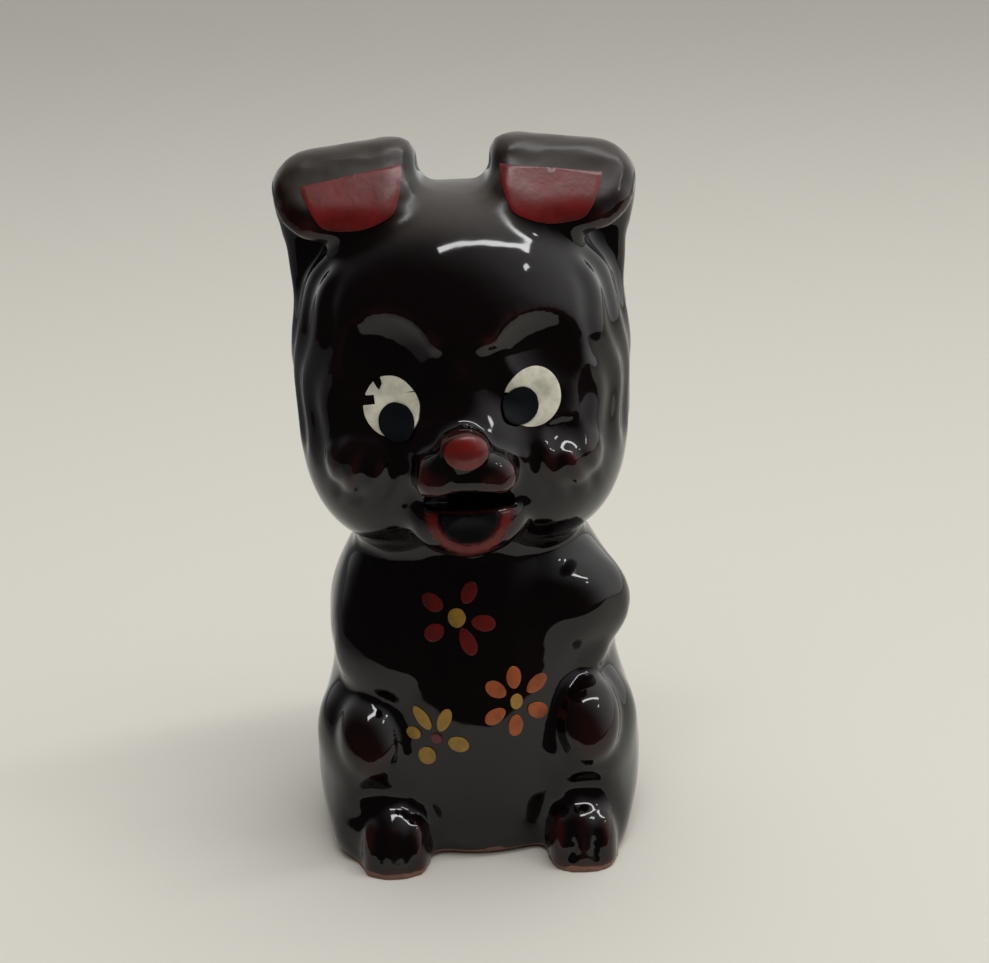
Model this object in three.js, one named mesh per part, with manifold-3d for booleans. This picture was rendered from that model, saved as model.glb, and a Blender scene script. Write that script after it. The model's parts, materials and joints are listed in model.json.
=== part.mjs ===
// A seated dog money box: a hollow slip-cast figure in brown glaze, with a coin slot in the back of
// the head, a cork in the base and cold enamel painted on the glaze.
// Millimetres, +Z up. The origin is under the middle of the figure, in the plane that it stands on, and
// the dog looks along -Y. Left and right are the dog's own, so its left side is at +X.
import * as THREE from "three";
import { mergeVertices } from "three/addons/utils/BufferGeometryUtils.js";
import Module from "manifold-3d";

const wasm = await Module();
wasm.setup();

// Casting
const WALL = 4;
const FLOOR = 6;
const NECK_HEIGHT = 61;
const NECK_WIDTH = 40;

// Base and its stopper hole
const RECESS_DIAMETER = 40;
const RECESS_DEPTH = 2;
const HOLE_DIAMETER = 27;
const HOLE_TAPER = 3;
const CORK_LENGTH = 15;
const CORK_CHAMFER = 1;
const CORK_CLEARANCE = 0.3;
const CORK_LIFT = 0.8;

// Coin slot in the back of the head
const SLOT_LENGTH = 34;
const SLOT_WIDTH = 5;
const SLOT_RISE = 4;

// Trunk
const TRUNK_SETBACK = 3;
const RUMP_WIDTH = 58;
const RUMP_DEPTH = 59;
const RUMP_HEIGHT = 70;
const RUMP_RISE = 10;
const CHEST_WIDTH = 58;
const CHEST_DEPTH = 50;
const CHEST_HEIGHT = 44;
const CHEST_DROP = 15;
const BELLY_WIDTH = 40;
const BELLY_DEPTH = 44;
const BELLY_HEIGHT = 60;
const BELLY_RISE = 24;
const BELLY_REACH = 4;
const TAIL_LENGTH = 22;
const TAIL_THICKNESS = 10;

// Arms, from shoulder to elbow to paw; the right one hangs and the left one is held up
const RIGHT_SHOULDER_SPREAD = 31;
const RIGHT_SHOULDER_DROP = 8.5;
const RIGHT_ELBOW_SPREAD = 35;
const RIGHT_ELBOW_DROP = 17.5;
const RIGHT_PAW_SPREAD = 32.5;
const RIGHT_PAW_DROP = 20.5;
const LEFT_SHOULDER_SPREAD = 37;
const LEFT_SHOULDER_DROP = 10.5;
const LEFT_ELBOW_SPREAD = 43;
const LEFT_ELBOW_DROP = 12.5;
const LEFT_PAW_SPREAD = 39;
const LEFT_PAW_DROP = 11;
const SHOULDER_REACH = 5.5;
const ELBOW_REACH = 9.5;
const PAW_REACH = 14;
const ARM_THICKNESS = 18;
const PAW_THICKNESS = 14;

// Hind legs
const HAUNCH_SPREAD = 43;
const HAUNCH_WIDTH = 24;
const HAUNCH_DEPTH = 44;
const HAUNCH_HEIGHT = 40;
const HAUNCH_RISE = 14;
const THIGH_SPREAD = 47.5;
const THIGH_THICKNESS = 16;
const THIGH_RISE = 24.5;
const THIGH_REACH = 12;
const KNEE_SPREAD = 42.5;
const KNEE_THICKNESS = 13;
const KNEE_RISE = 19.5;
const KNEE_REACH = 20.5;
const HIP_SPREAD = 43;
const HIP_THICKNESS = 18;
const HIP_RISE = 6;
const HIP_SETBACK = 5;
const SHIN_SPREAD = 45;
const SHIN_THICKNESS = 15.5;
const SHIN_RISE = 4;
const SHIN_REACH = 20;
const RIGHT_FOOT_SPREAD = 34.4;
const LEFT_FOOT_SPREAD = 40.6;
const FOOT_WIDTH = 15;
const FOOT_LENGTH = 17.5;
const FOOT_HEIGHT = 12;
const FOOT_SINK = 4;
const FOOT_REACH = 26;

// Head
const CRANIUM_WIDTH = 66;
const CRANIUM_DEPTH = 58;
const CRANIUM_HEIGHT = 65;
const CRANIUM_RISE = 38;
const CRANIUM_SETBACK = 1;
const CHEEK_SPREAD = 25;
const CHEEK_WIDTH = 37;
const CHEEK_DEPTH = 44;
const CHEEK_HEIGHT = 37;
const CHEEK_RISE = 19;
const CHEEK_REACH = 5;

// Face
const SOCKET_SPREAD = 26;
const SOCKET_WIDTH = 23;
const SOCKET_HEIGHT = 25;
const SOCKET_DEPTH = 22;
const SOCKET_RISE = 2;
const SOCKET_STANDOFF = 6;
const SNOUT_WIDTH = 20;
const SNOUT_LENGTH = 14;
const SNOUT_HEIGHT = 16;
const SNOUT_DROP = 14;
const SNOUT_SETBACK = 2;
const LIP_SPREAD = 9.2;
const LIP_WIDTH = 10.6;
const LIP_LENGTH = 9;
const LIP_HEIGHT = 8.4;
const LIP_DROP = 15.5;
const NOSE_WIDTH = 9.6;
const NOSE_LENGTH = 7;
const NOSE_HEIGHT = 8;
const NOSE_DROP = 10;
const JAW_WIDTH = 21.6;
const JAW_LENGTH = 15;
const JAW_HEIGHT = 15;
const JAW_DROP = 26.5;
const JAW_SETBACK = 1;
const MOUTH_WIDTH = 14;
const MOUTH_DEPTH = 13;
const MOUTH_HEIGHT = 15;
const MOUTH_DROP = 23.5;

// Ears, each a slab that stands up from the head and a flap folded forward over it
const EAR_SPREAD = 43;
const EAR_WIDTH = 26.8;
const EAR_HEIGHT = 25;
const EAR_THICKNESS = 8;
const EAR_CROWN = 7;
const EAR_SLOPE = 7.5;
const EAR_RISE = 6.6;
const FLAP_LENGTH = 18.5;
const FLAP_THICKNESS = 6;
const FLAP_TILT = 40;
const EAR_EDGE_LENGTH = 22;
const EAR_EDGE_LEAN = 11;

// How widely the creases between forms are rounded
const WAIST_BLEND = 20;
const NECK_BLEND = 7;
const COLLAR_BLEND = 3.5;
const SOFT_BLEND = 9;
const LIMB_BLEND = 5;
const CREASE_BLEND = 2.5;

// Enamel on the face and ears
const PAINT_THICKNESS = 0.4;
const PAINT_CLEARANCE = 0.4;
const EYE_SPREAD = 26.5;
const EYE_WIDTH = 10.9;
const EYE_HEIGHT = 11.6;
const EYE_DROP = 3.9;
const PUPIL_WIDTH = 7.2;
const PUPIL_HEIGHT = 7.6;
const NOSE_PAINT_MARGIN = 0.9;
const LIP_BAND = 1.5;
const EAR_PAINT_WIDTH = 18;
const EAR_PAINT_HEIGHT = 9.4;
const EAR_PAINT_DROP = 5.1;
const EAR_PAINT_INSET = 2.9;

// Enamel flowers
const PETAL_LENGTH = 4.1;
const PETAL_WIDTH = 3;
const FLOWER_EYE = 3;
const RED_FLOWER_OFFSET = 2.8;
const RED_FLOWER_HEIGHT = 50.8;
const RED_FLOWER_REACH = 5.3;
const ORANGE_FLOWER_OFFSET = 7.8;
const ORANGE_FLOWER_HEIGHT = 34;
const ORANGE_FLOWER_REACH = 4.9;
const YELLOW_FLOWER_OFFSET = 7.7;
const YELLOW_FLOWER_HEIGHT = 27.2;
const YELLOW_FLOWER_REACH = 4.4;
const SIDE_FLOWER_HEIGHT = 36.5;
const SIDE_FLOWER_REACH = 5;
const SIDE_FLOWER_BEARING = 112;

// Fineness of the meshes
const SKIN_STEP = 4.6;
const FACE_STEP = 2.8;
const CAVITY_STEP = 7;
const ROUND_SEGMENTS = 40;
const SLOT_END_SEGMENTS = 8;
const EYE_POINTS = 18;
const FACE_PAINT_POINTS = 16;
const PETAL_POINTS = 12;
const WELD = 1e-4;
const TOUCH = 1e-3;

// Heights and depths that follow from the driving dimensions
const craniumZ = NECK_HEIGHT + CRANIUM_RISE;
const faceY = CRANIUM_SETBACK - CRANIUM_DEPTH / 2;
const chestZ = NECK_HEIGHT - CHEST_DROP;

// Signed distances: below zero inside a form, above zero outside it
function ellipsoid([cx, cy, cz], [width, depth, height]) {
  const [a, b, c] = [width / 2, depth / 2, height / 2];
  return (x, y, z) => {
    const [u, v, w] = [(x - cx) / a, (y - cy) / b, (z - cz) / c];
    const reach = Math.hypot(u, v, w);
    const slope = Math.hypot(u / a, v / b, w / c);
    return slope > 0 ? (reach * (reach - 1)) / slope : -Math.min(a, b, c);
  };
}

// A limb is a tapered round bar between two points.
function limb(from, to, startThickness, endThickness) {
  const start = new THREE.Vector3(...from);
  const along = new THREE.Vector3(...to).sub(start);
  const point = new THREE.Vector3();
  return (x, y, z) => {
    point.set(x, y, z).sub(start);
    const share = THREE.MathUtils.clamp(point.dot(along) / along.lengthSq(), 0, 1);
    const radius = THREE.MathUtils.lerp(startThickness, endThickness, share) / 2;
    return point.addScaledVector(along, -share).length() - radius;
  };
}

// A slab hangs from the middle of its top edge, in a frame turned to its slope and tilt.
// Its lower corners and its outer upper corner have radii of their own, and its inner upper corner is
// rounded only to its thickness.
function slab(top, turn, width, height, thickness, corner, crown) {
  const toLocal = new THREE.Matrix4().makeRotationFromEuler(turn).setPosition(...top).invert();
  const point = new THREE.Vector3();
  const edge = thickness / 2;
  return (x, y, z) => {
    point.set(x, y, z).applyMatrix4(toLocal);
    const upper = point.x > 0 ? crown : edge;
    const radius = point.z < -height / 2 ? corner : upper;
    const acrossOver = Math.abs(point.x) - (width / 2 - radius);
    const downOver = Math.abs(point.z + height / 2) - (height / 2 - radius);
    const outside = Math.hypot(Math.max(acrossOver, 0), Math.max(downOver, 0));
    const outline = outside + Math.min(Math.max(acrossOver, downOver), 0) - (radius - edge);
    return Math.hypot(Math.max(outline, 0), point.y) - edge;
  };
}

// Joins and cuts that round the crease between two forms over a blend width
function blend(a, b, width) {
  const share = Math.max(width - Math.abs(a - b), 0) / width;
  return Math.min(a, b) - (share * share * width) / 4;
}

function carve(a, b, width) {
  return -blend(-a, b, width);
}

// Trunk, arms and hind legs; paired forms are drawn once at +X and read with |x|
const rump = ellipsoid([0, TRUNK_SETBACK, RUMP_RISE], [RUMP_WIDTH, RUMP_DEPTH, RUMP_HEIGHT]);
const chest = ellipsoid([0, TRUNK_SETBACK, chestZ], [CHEST_WIDTH, CHEST_DEPTH, CHEST_HEIGHT]);
const neck = limb([0, TRUNK_SETBACK, chestZ], [0, CRANIUM_SETBACK, craniumZ], NECK_WIDTH, NECK_WIDTH);
const belly = ellipsoid([0, -BELLY_REACH, BELLY_RISE], [BELLY_WIDTH, BELLY_DEPTH, BELLY_HEIGHT]);
const rumpBackY = TRUNK_SETBACK + RUMP_DEPTH / 2;
const tail = limb(
  [0, rumpBackY - TAIL_THICKNESS / 4, TAIL_THICKNESS / 2],
  [0, rumpBackY - TAIL_THICKNESS / 4, TAIL_LENGTH],
  TAIL_THICKNESS,
  TAIL_THICKNESS / 2,
);
function arm(shoulder, elbow, paw) {
  const upperArm = limb(shoulder, elbow, ARM_THICKNESS, ARM_THICKNESS);
  const forearm = limb(elbow, paw, ARM_THICKNESS, PAW_THICKNESS);
  return (x, y, z) => blend(upperArm(x, y, z), forearm(x, y, z), LIMB_BLEND);
}
const rightArm = arm(
  [RIGHT_SHOULDER_SPREAD / 2, -SHOULDER_REACH, NECK_HEIGHT - RIGHT_SHOULDER_DROP],
  [RIGHT_ELBOW_SPREAD / 2, -ELBOW_REACH, NECK_HEIGHT - RIGHT_ELBOW_DROP],
  [RIGHT_PAW_SPREAD / 2, -PAW_REACH, NECK_HEIGHT - RIGHT_PAW_DROP],
);
const leftArm = arm(
  [LEFT_SHOULDER_SPREAD / 2, -SHOULDER_REACH, NECK_HEIGHT - LEFT_SHOULDER_DROP],
  [LEFT_ELBOW_SPREAD / 2, -ELBOW_REACH, NECK_HEIGHT - LEFT_ELBOW_DROP],
  [LEFT_PAW_SPREAD / 2, -PAW_REACH, NECK_HEIGHT - LEFT_PAW_DROP],
);
const haunch = ellipsoid(
  [HAUNCH_SPREAD / 2, -TRUNK_SETBACK, HAUNCH_RISE],
  [HAUNCH_WIDTH, HAUNCH_DEPTH, HAUNCH_HEIGHT],
);
const thigh = limb(
  [THIGH_SPREAD / 2, -THIGH_REACH, THIGH_RISE],
  [KNEE_SPREAD / 2, -KNEE_REACH, KNEE_RISE],
  THIGH_THICKNESS,
  KNEE_THICKNESS,
);
const shin = limb(
  [HIP_SPREAD / 2, HIP_SETBACK, HIP_RISE],
  [SHIN_SPREAD / 2, -SHIN_REACH, SHIN_RISE],
  HIP_THICKNESS,
  SHIN_THICKNESS,
);
function foot(spread) {
  return ellipsoid(
    [spread / 2, -FOOT_REACH, -FOOT_SINK],
    [FOOT_WIDTH, FOOT_LENGTH, 2 * (FOOT_HEIGHT + FOOT_SINK)],
  );
}
const rightFoot = foot(RIGHT_FOOT_SPREAD);
const leftFoot = foot(LEFT_FOOT_SPREAD);

function trunkField(x, y, z) {
  const trunk = blend(rump(x, y, z), chest(x, y, z), WAIST_BLEND);
  const front = blend(trunk, belly(x, y, z), SOFT_BLEND);
  const necked = blend(front, neck(x, y, z), SOFT_BLEND);
  return blend(necked, haunch(Math.abs(x), y, z), LIMB_BLEND);
}

function bodyField(x, y, z) {
  const side = Math.abs(x);
  const seated = blend(trunkField(x, y, z), shin(side, y, z), LIMB_BLEND);
  const legged = blend(seated, thigh(side, y, z), LIMB_BLEND);
  const arms = Math.min(leftArm(x, y, z), rightArm(-x, y, z));
  const armed = blend(legged, arms, LIMB_BLEND);
  const tailed = blend(armed, tail(x, y, z), CREASE_BLEND);
  const feet = Math.min(leftFoot(x, y, z), rightFoot(-x, y, z));
  return blend(tailed, feet, CREASE_BLEND);
}

// Head, face and ears
const cranium = ellipsoid([0, CRANIUM_SETBACK, craniumZ], [CRANIUM_WIDTH, CRANIUM_DEPTH, CRANIUM_HEIGHT]);
const cheek = ellipsoid(
  [CHEEK_SPREAD / 2, -CHEEK_REACH, NECK_HEIGHT + CHEEK_RISE],
  [CHEEK_WIDTH, CHEEK_DEPTH, CHEEK_HEIGHT],
);
const socket = ellipsoid(
  [SOCKET_SPREAD / 2, faceY - SOCKET_STANDOFF, craniumZ + SOCKET_RISE],
  [SOCKET_WIDTH, SOCKET_DEPTH, SOCKET_HEIGHT],
);
const snoutY = faceY + SNOUT_SETBACK;
const snout = ellipsoid([0, snoutY, craniumZ - SNOUT_DROP], [SNOUT_WIDTH, SNOUT_LENGTH, SNOUT_HEIGHT]);
const lip = ellipsoid(
  [LIP_SPREAD / 2, snoutY - SNOUT_LENGTH / 2, craniumZ - LIP_DROP],
  [LIP_WIDTH, LIP_LENGTH, LIP_HEIGHT],
);
const noseY = snoutY - SNOUT_LENGTH / 2 - NOSE_LENGTH / 4;
const nose = ellipsoid([0, noseY, craniumZ - NOSE_DROP], [NOSE_WIDTH, NOSE_LENGTH, NOSE_HEIGHT]);
const jaw = ellipsoid([0, snoutY + JAW_SETBACK, craniumZ - JAW_DROP], [JAW_WIDTH, JAW_LENGTH, JAW_HEIGHT]);
const mouth = ellipsoid(
  [0, snoutY - SNOUT_LENGTH / 2, craniumZ - MOUTH_DROP],
  [MOUTH_WIDTH, MOUTH_DEPTH, MOUTH_HEIGHT],
);
const earTop = [
  EAR_SPREAD / 2,
  CRANIUM_SETBACK + EAR_THICKNESS / 3,
  craniumZ + CRANIUM_HEIGHT / 2 + EAR_RISE,
];
const slope = THREE.MathUtils.degToRad(EAR_SLOPE);
const tilt = THREE.MathUtils.degToRad(FLAP_TILT);
const earSlab = slab(
  earTop,
  new THREE.Euler(0, slope, 0),
  EAR_WIDTH,
  EAR_HEIGHT,
  EAR_THICKNESS,
  EAR_THICKNESS / 2,
  EAR_CROWN,
);
const earFlap = slab(
  [earTop[0], earTop[1] - EAR_THICKNESS / 4, earTop[2]],
  new THREE.Euler(-tilt, slope, 0, "YXZ"),
  EAR_WIDTH,
  FLAP_LENGTH,
  FLAP_THICKNESS,
  FLAP_LENGTH / 2,
  EAR_CROWN,
);

// The outer edge of the ear runs on down the side of the head.
const earCorner = [
  earTop[0] + (EAR_WIDTH / 2) * Math.cos(slope) - EAR_THICKNESS / 2,
  earTop[1],
  earTop[2] - (EAR_WIDTH / 2) * Math.sin(slope) - EAR_CROWN,
];
const lean = THREE.MathUtils.degToRad(EAR_EDGE_LEAN);
const earFoot = [
  earCorner[0] - EAR_EDGE_LENGTH * Math.sin(lean),
  earCorner[1],
  earCorner[2] - EAR_EDGE_LENGTH * Math.cos(lean),
];
const earEdge = limb(earCorner, earFoot, EAR_THICKNESS, EAR_THICKNESS);

function skullField(x, y, z) {
  const side = Math.abs(x);
  const skull = blend(cranium(x, y, z), cheek(side, y, z), SOFT_BLEND);
  return carve(skull, socket(side, y, z), LIMB_BLEND);
}

function headField(x, y, z) {
  const side = Math.abs(x);
  const snouted = blend(skullField(x, y, z), snout(x, y, z), LIMB_BLEND);
  const jawed = blend(snouted, jaw(x, y, z), CREASE_BLEND);
  const open = carve(jawed, mouth(x, y, z), CREASE_BLEND);
  const lipped = blend(open, lip(side, y, z), CREASE_BLEND);
  const face = blend(lipped, nose(x, y, z), CREASE_BLEND / 2);
  const upright = blend(earSlab(side, y, z), earEdge(side, y, z), CREASE_BLEND);
  const ear = blend(upright, earFlap(side, y, z), LIMB_BLEND);
  return blend(face, ear, LIMB_BLEND);
}

function figureField(x, y, z) {
  return blend(headField(x, y, z), bodyField(x, y, z), COLLAR_BLEND);
}

// The slip drains from the head and trunk only; the ears, paws, feet and muzzle fill up.
function cavityField(x, y, z) {
  return blend(skullField(x, y, z), trunkField(x, y, z), NECK_BLEND) + WALL;
}

const gradient = new THREE.Vector3();
function outwardAt(field, { x, y, z }) {
  const nudge = 0.05;
  gradient.set(
    field(x + nudge, y, z) - field(x - nudge, y, z),
    field(x, y + nudge, z) - field(x, y - nudge, z),
    field(x, y, z + nudge) - field(x, y, z - nudge),
  );
  return gradient.normalize();
}

// Grid lines from low to high, closer together inside the fine span
function gridLines(low, high, step, fineLow, fineHigh, fineStep) {
  const lines = [low];
  while (lines.at(-1) < high) {
    const at = lines.at(-1);
    lines.push(at + (at >= fineLow && at < fineHigh ? fineStep : step));
  }
  return lines;
}

// A grid cell's corners are numbered by bits, one bit for the far side along each of x, y and z. Its edges
// are pairs of corners, and its faces are rings of corners.
const CELL_EDGES = [0, 1, 2].flatMap((axis) =>
  [0, 1, 2, 3, 4, 5, 6, 7].filter((p) => !((p >> axis) & 1)).map((p) => [p, p | (1 << axis)]),
);
const CELL_FACES = [0, 1, 2].flatMap((axis) => {
  const [next, other] = [1 << ((axis + 1) % 3), 1 << ((axis + 2) % 3)];
  return [0, 1 << axis].map((side) => [side, side | next, side | next | other, side | other]);
});
const edgeBetween = (p, q) => CELL_EDGES.findIndex(([a, b]) => a === Math.min(p, q) && b === Math.max(p, q));

// Which sheet of the surface crosses each edge of a cell, as a number, or -1 where none does
function cellSheets(inside) {
  const sheets = CELL_EDGES.map(([p, q], n) => (inside[p] === inside[q] ? -1 : n));
  const join = (m, n) => {
    const [from, to] = [sheets[m], sheets[n]];
    sheets.forEach((sheet, k) => {
      if (sheet === from) sheets[k] = to;
    });
  };
  for (const ring of CELL_FACES) {
    const edges = ring.map((p, n) => edgeBetween(p, ring[(n + 1) % 4]));
    const crossed = edges.filter((n) => sheets[n] >= 0);
    if (crossed.length === 2) join(crossed[0], crossed[1]);
    if (crossed.length === 4) ring.forEach((p, n) => inside[p] && join(edges[(n + 3) % 4], edges[n]));
  }
  return sheets;
}

// The zero surface of a field as a closed mesh: one vertex for each sheet of the surface in a grid cell,
// and one quad for each grid edge that the surface crosses
function skin(field, xs, ys, zs) {
  const [nx, ny, nz] = [xs.length, ys.length, zs.length];
  const at = (i, j, k) => (k * ny + j) * nx + i;
  const placeOf = ([i, j, k]) => new THREE.Vector3(xs[i], ys[j], zs[k]);
  const values = new Float64Array(nx * ny * nz);
  for (let k = 0; k < nz; k++)
    for (let j = 0; j < ny; j++)
      for (let i = 0; i < nx; i++) values[at(i, j, k)] = field(xs[i], ys[j], zs[k]);

  const vertexOf = new Map();
  const positions = [];
  for (let k = 0; k < nz - 1; k++)
    for (let j = 0; j < ny - 1; j++)
      for (let i = 0; i < nx - 1; i++) addCell(i, j, k);

  function addCell(i, j, k) {
    const corners = [0, 1, 2, 3, 4, 5, 6, 7].map((p) => [i + (p & 1), j + ((p >> 1) & 1), k + (p >> 2)]);
    const depths = corners.map(([a, b, c]) => values[at(a, b, c)]);
    const inside = depths.map((depth) => depth < 0);
    if (inside.every((value) => value === inside[0])) return;
    const sheets = cellSheets(inside);
    for (const sheet of new Set(sheets.filter((n) => n >= 0))) {
      const middle = new THREE.Vector3();
      const edges = CELL_EDGES.map((_, n) => n).filter((n) => sheets[n] === sheet);
      for (const n of edges) {
        const [p, q] = CELL_EDGES[n];
        const from = placeOf(corners[p]);
        middle.add(from.lerp(placeOf(corners[q]), depths[p] / (depths[p] - depths[q])));
        vertexOf.set(12 * at(i, j, k) + n, positions.length / 3);
      }
      settle(middle.divideScalar(edges.length), i, j, k);
      positions.push(middle.x, middle.y, middle.z);
    }
  }

  // Moves a vertex on to the surface without leaving its cell.
  function settle(vertex, i, j, k) {
    const margin = 0.08;
    const keep = (value, lines, n) => {
      const room = (lines[n + 1] - lines[n]) * margin;
      return THREE.MathUtils.clamp(value, lines[n] + room, lines[n + 1] - room);
    };
    for (let pass = 0; pass < 3; pass++) {
      const distance = field(vertex.x, vertex.y, vertex.z);
      vertex.addScaledVector(outwardAt(field, vertex), -distance);
      vertex.set(keep(vertex.x, xs, i), keep(vertex.y, ys, j), keep(vertex.z, zs, k));
    }
  }

  const triangles = [];
  const [a, b] = [new THREE.Vector3(), new THREE.Vector3()];
  const gap = (m, n) => a.fromArray(positions, 3 * m).distanceToSquared(b.fromArray(positions, 3 * n));
  function quad(ring, flip) {
    const [p, q, r, s] = flip ? [...ring].reverse() : ring;
    if (gap(p, r) < gap(q, s)) triangles.push(p, q, r, p, r, s);
    else triangles.push(q, r, s, q, s, p);
  }
  // The four cells round a grid edge, in turn, as the steps back to each from the edge's first point
  const turns = [[1, 1], [0, 1], [0, 0], [1, 0]];
  for (let k = 1; k < nz - 1; k++)
    for (let j = 1; j < ny - 1; j++)
      for (let i = 1; i < nx - 1; i++)
        for (let axis = 0; axis < 3; axis++) {
          const inside = values[at(i, j, k)] < 0;
          const end = [i + (axis === 0), j + (axis === 1), k + (axis === 2)];
          if (values[at(...end)] < 0 === inside) continue;
          const ring = turns.map(([back, backNext]) => {
            const steps = [0, 0, 0];
            steps[(axis + 1) % 3] = back;
            steps[(axis + 2) % 3] = backNext;
            const corner = steps[0] + 2 * steps[1] + 4 * steps[2];
            const cell = at(i - steps[0], j - steps[1], k - steps[2]);
            return vertexOf.get(12 * cell + edgeBetween(corner, corner | (1 << axis)));
          });
          quad(ring, !inside);
        }
  const evened = relaxed(field, positions, triangles);
  const geometry = new THREE.BufferGeometry();
  geometry.setAttribute("position", new THREE.Float32BufferAttribute(evened, 3));
  geometry.setIndex(triangles);
  return geometry;
}

// Evens out the triangles: each vertex goes to the middle of its neighbours and back on to the surface.
function relaxed(field, positions, triangles) {
  const passes = 3;
  const neighbours = Array.from({ length: positions.length / 3 }, () => new Set());
  for (let n = 0; n < triangles.length; n++) {
    const next = n % 3 === 2 ? n - 2 : n + 1;
    neighbours[triangles[n]].add(triangles[next]);
    neighbours[triangles[next]].add(triangles[n]);
  }
  const [middle, point] = [new THREE.Vector3(), new THREE.Vector3()];
  let current = positions;
  for (let pass = 0; pass < passes; pass++) {
    const moved = new Array(current.length);
    neighbours.forEach((ring, n) => {
      middle.set(0, 0, 0);
      for (const m of ring) middle.add(point.fromArray(current, 3 * m));
      middle.divideScalar(ring.size);
      for (let step = 0; step < 2; step++) {
        const distance = field(middle.x, middle.y, middle.z);
        middle.addScaledVector(outwardAt(field, middle), -distance);
      }
      middle.toArray(moved, 3 * n);
    });
    current = moved;
  }
  return current;
}

// Between three.js geometry and solids that can be cut
function solidOf(geometry) {
  const bare = geometry.clone();
  bare.deleteAttribute("normal");
  bare.deleteAttribute("uv");
  const merged = mergeVertices(bare, WELD);
  return new wasm.Manifold(
    new wasm.Mesh({
      numProp: 3,
      vertProperties: new Float32Array(merged.attributes.position.array),
      triVerts: new Uint32Array(merged.index.array),
    }),
  );
}

function geometryOf(solid) {
  const mesh = solid.getMesh();
  const geometry = new THREE.BufferGeometry();
  geometry.setAttribute("position", new THREE.Float32BufferAttribute(mesh.vertProperties, 3));
  geometry.setIndex(withoutShortEdges(mesh.vertProperties, Array.from(mesh.triVerts)));
  geometry.computeVertexNormals();
  return geometry;
}

// Cuts leave a few very short edges. Each is drawn together into one vertex, where its two ends share
// just the two neighbours that keep the surface closed.
function withoutShortEdges(positions, triangles) {
  const shortest = 0.05;
  const [a, b] = [new THREE.Vector3(), new THREE.Vector3()];
  const length = (m, n) => a.fromArray(positions, 3 * m).distanceTo(b.fromArray(positions, 3 * n));
  const around = (vertex) => {
    const found = new Set();
    for (let n = 0; n < triangles.length; n += 3) {
      const corners = triangles.slice(n, n + 3);
      if (corners.includes(vertex)) corners.forEach((corner) => found.add(corner));
    }
    return found;
  };
  for (let n = 0; n < triangles.length; n++) {
    const [from, to] = [triangles[n], triangles[n % 3 === 2 ? n - 2 : n + 1]];
    if (length(from, to) >= shortest) continue;
    const near = around(to);
    const shared = [...around(from)].filter((corner) => near.has(corner) && corner !== from && corner !== to);
    if (shared.length !== 2) continue;
    const joined = triangles.map((corner) => (corner === from ? to : corner));
    triangles = [];
    for (let t = 0; t < joined.length; t += 3) {
      const [p, q, r] = joined.slice(t, t + 3);
      if (p !== q && q !== r && r !== p) triangles.push(p, q, r);
    }
    n = -1;
  }
  return triangles;
}

// The box that holds the whole figure, with room for the grid's own margin
const ROOM = 8;
const broadest = Math.max(CRANIUM_WIDTH, EAR_SPREAD + EAR_WIDTH, HAUNCH_SPREAD + HAUNCH_WIDTH);
const halfWidth = broadest / 2 + ROOM;
const foremost = Math.max(FOOT_REACH + FOOT_LENGTH / 2, NOSE_LENGTH - noseY, CHEEK_REACH + CHEEK_DEPTH / 2);
const frontY = -foremost - ROOM;
const deepest = Math.max(CRANIUM_DEPTH, RUMP_DEPTH, CHEST_DEPTH);
const backY = deepest / 2 + TRUNK_SETBACK + TAIL_THICKNESS / 2 + ROOM;
const topZ = earTop[2] + ROOM;
const lowZ = RUMP_RISE - RUMP_HEIGHT / 2 - ROOM;

function below(z) {
  const depth = z - lowZ + ROOM;
  const box = new THREE.BoxGeometry(4 * halfWidth, 4 * backY, depth);
  return solidOf(box.translate(0, 0, z - depth / 2));
}

// The casting: outer skin, even wall, flat base with a recess, stopper hole and coin slot
function outerSolid() {
  const faceHalf = (EAR_SPREAD + EAR_WIDTH) / 2;
  const faceLow = craniumZ - JAW_DROP - JAW_HEIGHT / 2;
  const xs = gridLines(-halfWidth, halfWidth, SKIN_STEP, -faceHalf, faceHalf, FACE_STEP);
  const ys = gridLines(frontY, backY, SKIN_STEP, frontY, faceY + SOCKET_STANDOFF, FACE_STEP);
  const zs = gridLines(lowZ, topZ, SKIN_STEP, faceLow, topZ, FACE_STEP);
  return solidOf(skin(figureField, xs, ys, zs)).subtract(below(0));
}

function cavitySolid() {
  const xs = gridLines(-halfWidth, halfWidth, CAVITY_STEP);
  const ys = gridLines(frontY, backY, CAVITY_STEP);
  const zs = gridLines(lowZ, topZ, CAVITY_STEP);
  return solidOf(skin(cavityField, xs, ys, zs)).subtract(below(FLOOR));
}

function lathe(profile, segments) {
  const points = profile.map(([radius, height]) => new THREE.Vector2(radius, height));
  return new THREE.LatheGeometry(points, segments).rotateX(Math.PI / 2);
}

const holeRadiusAt = (z) => HOLE_DIAMETER / 2 - ((z - RECESS_DEPTH) * HOLE_TAPER) / (2 * CORK_LENGTH);

function recessCutter() {
  const [radius, depth] = [RECESS_DIAMETER / 2, RECESS_DEPTH];
  const profile = [[0, -ROOM], [radius, -ROOM], [radius, 0], [radius - depth, depth], [0, depth]];
  return solidOf(lathe(profile, ROUND_SEGMENTS));
}

function holeCutter() {
  const [low, high] = [0, FLOOR + ROOM];
  const profile = [[0, low], [holeRadiusAt(low), low], [holeRadiusAt(high), high], [0, high]];
  return solidOf(lathe(profile, ROUND_SEGMENTS));
}

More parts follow.
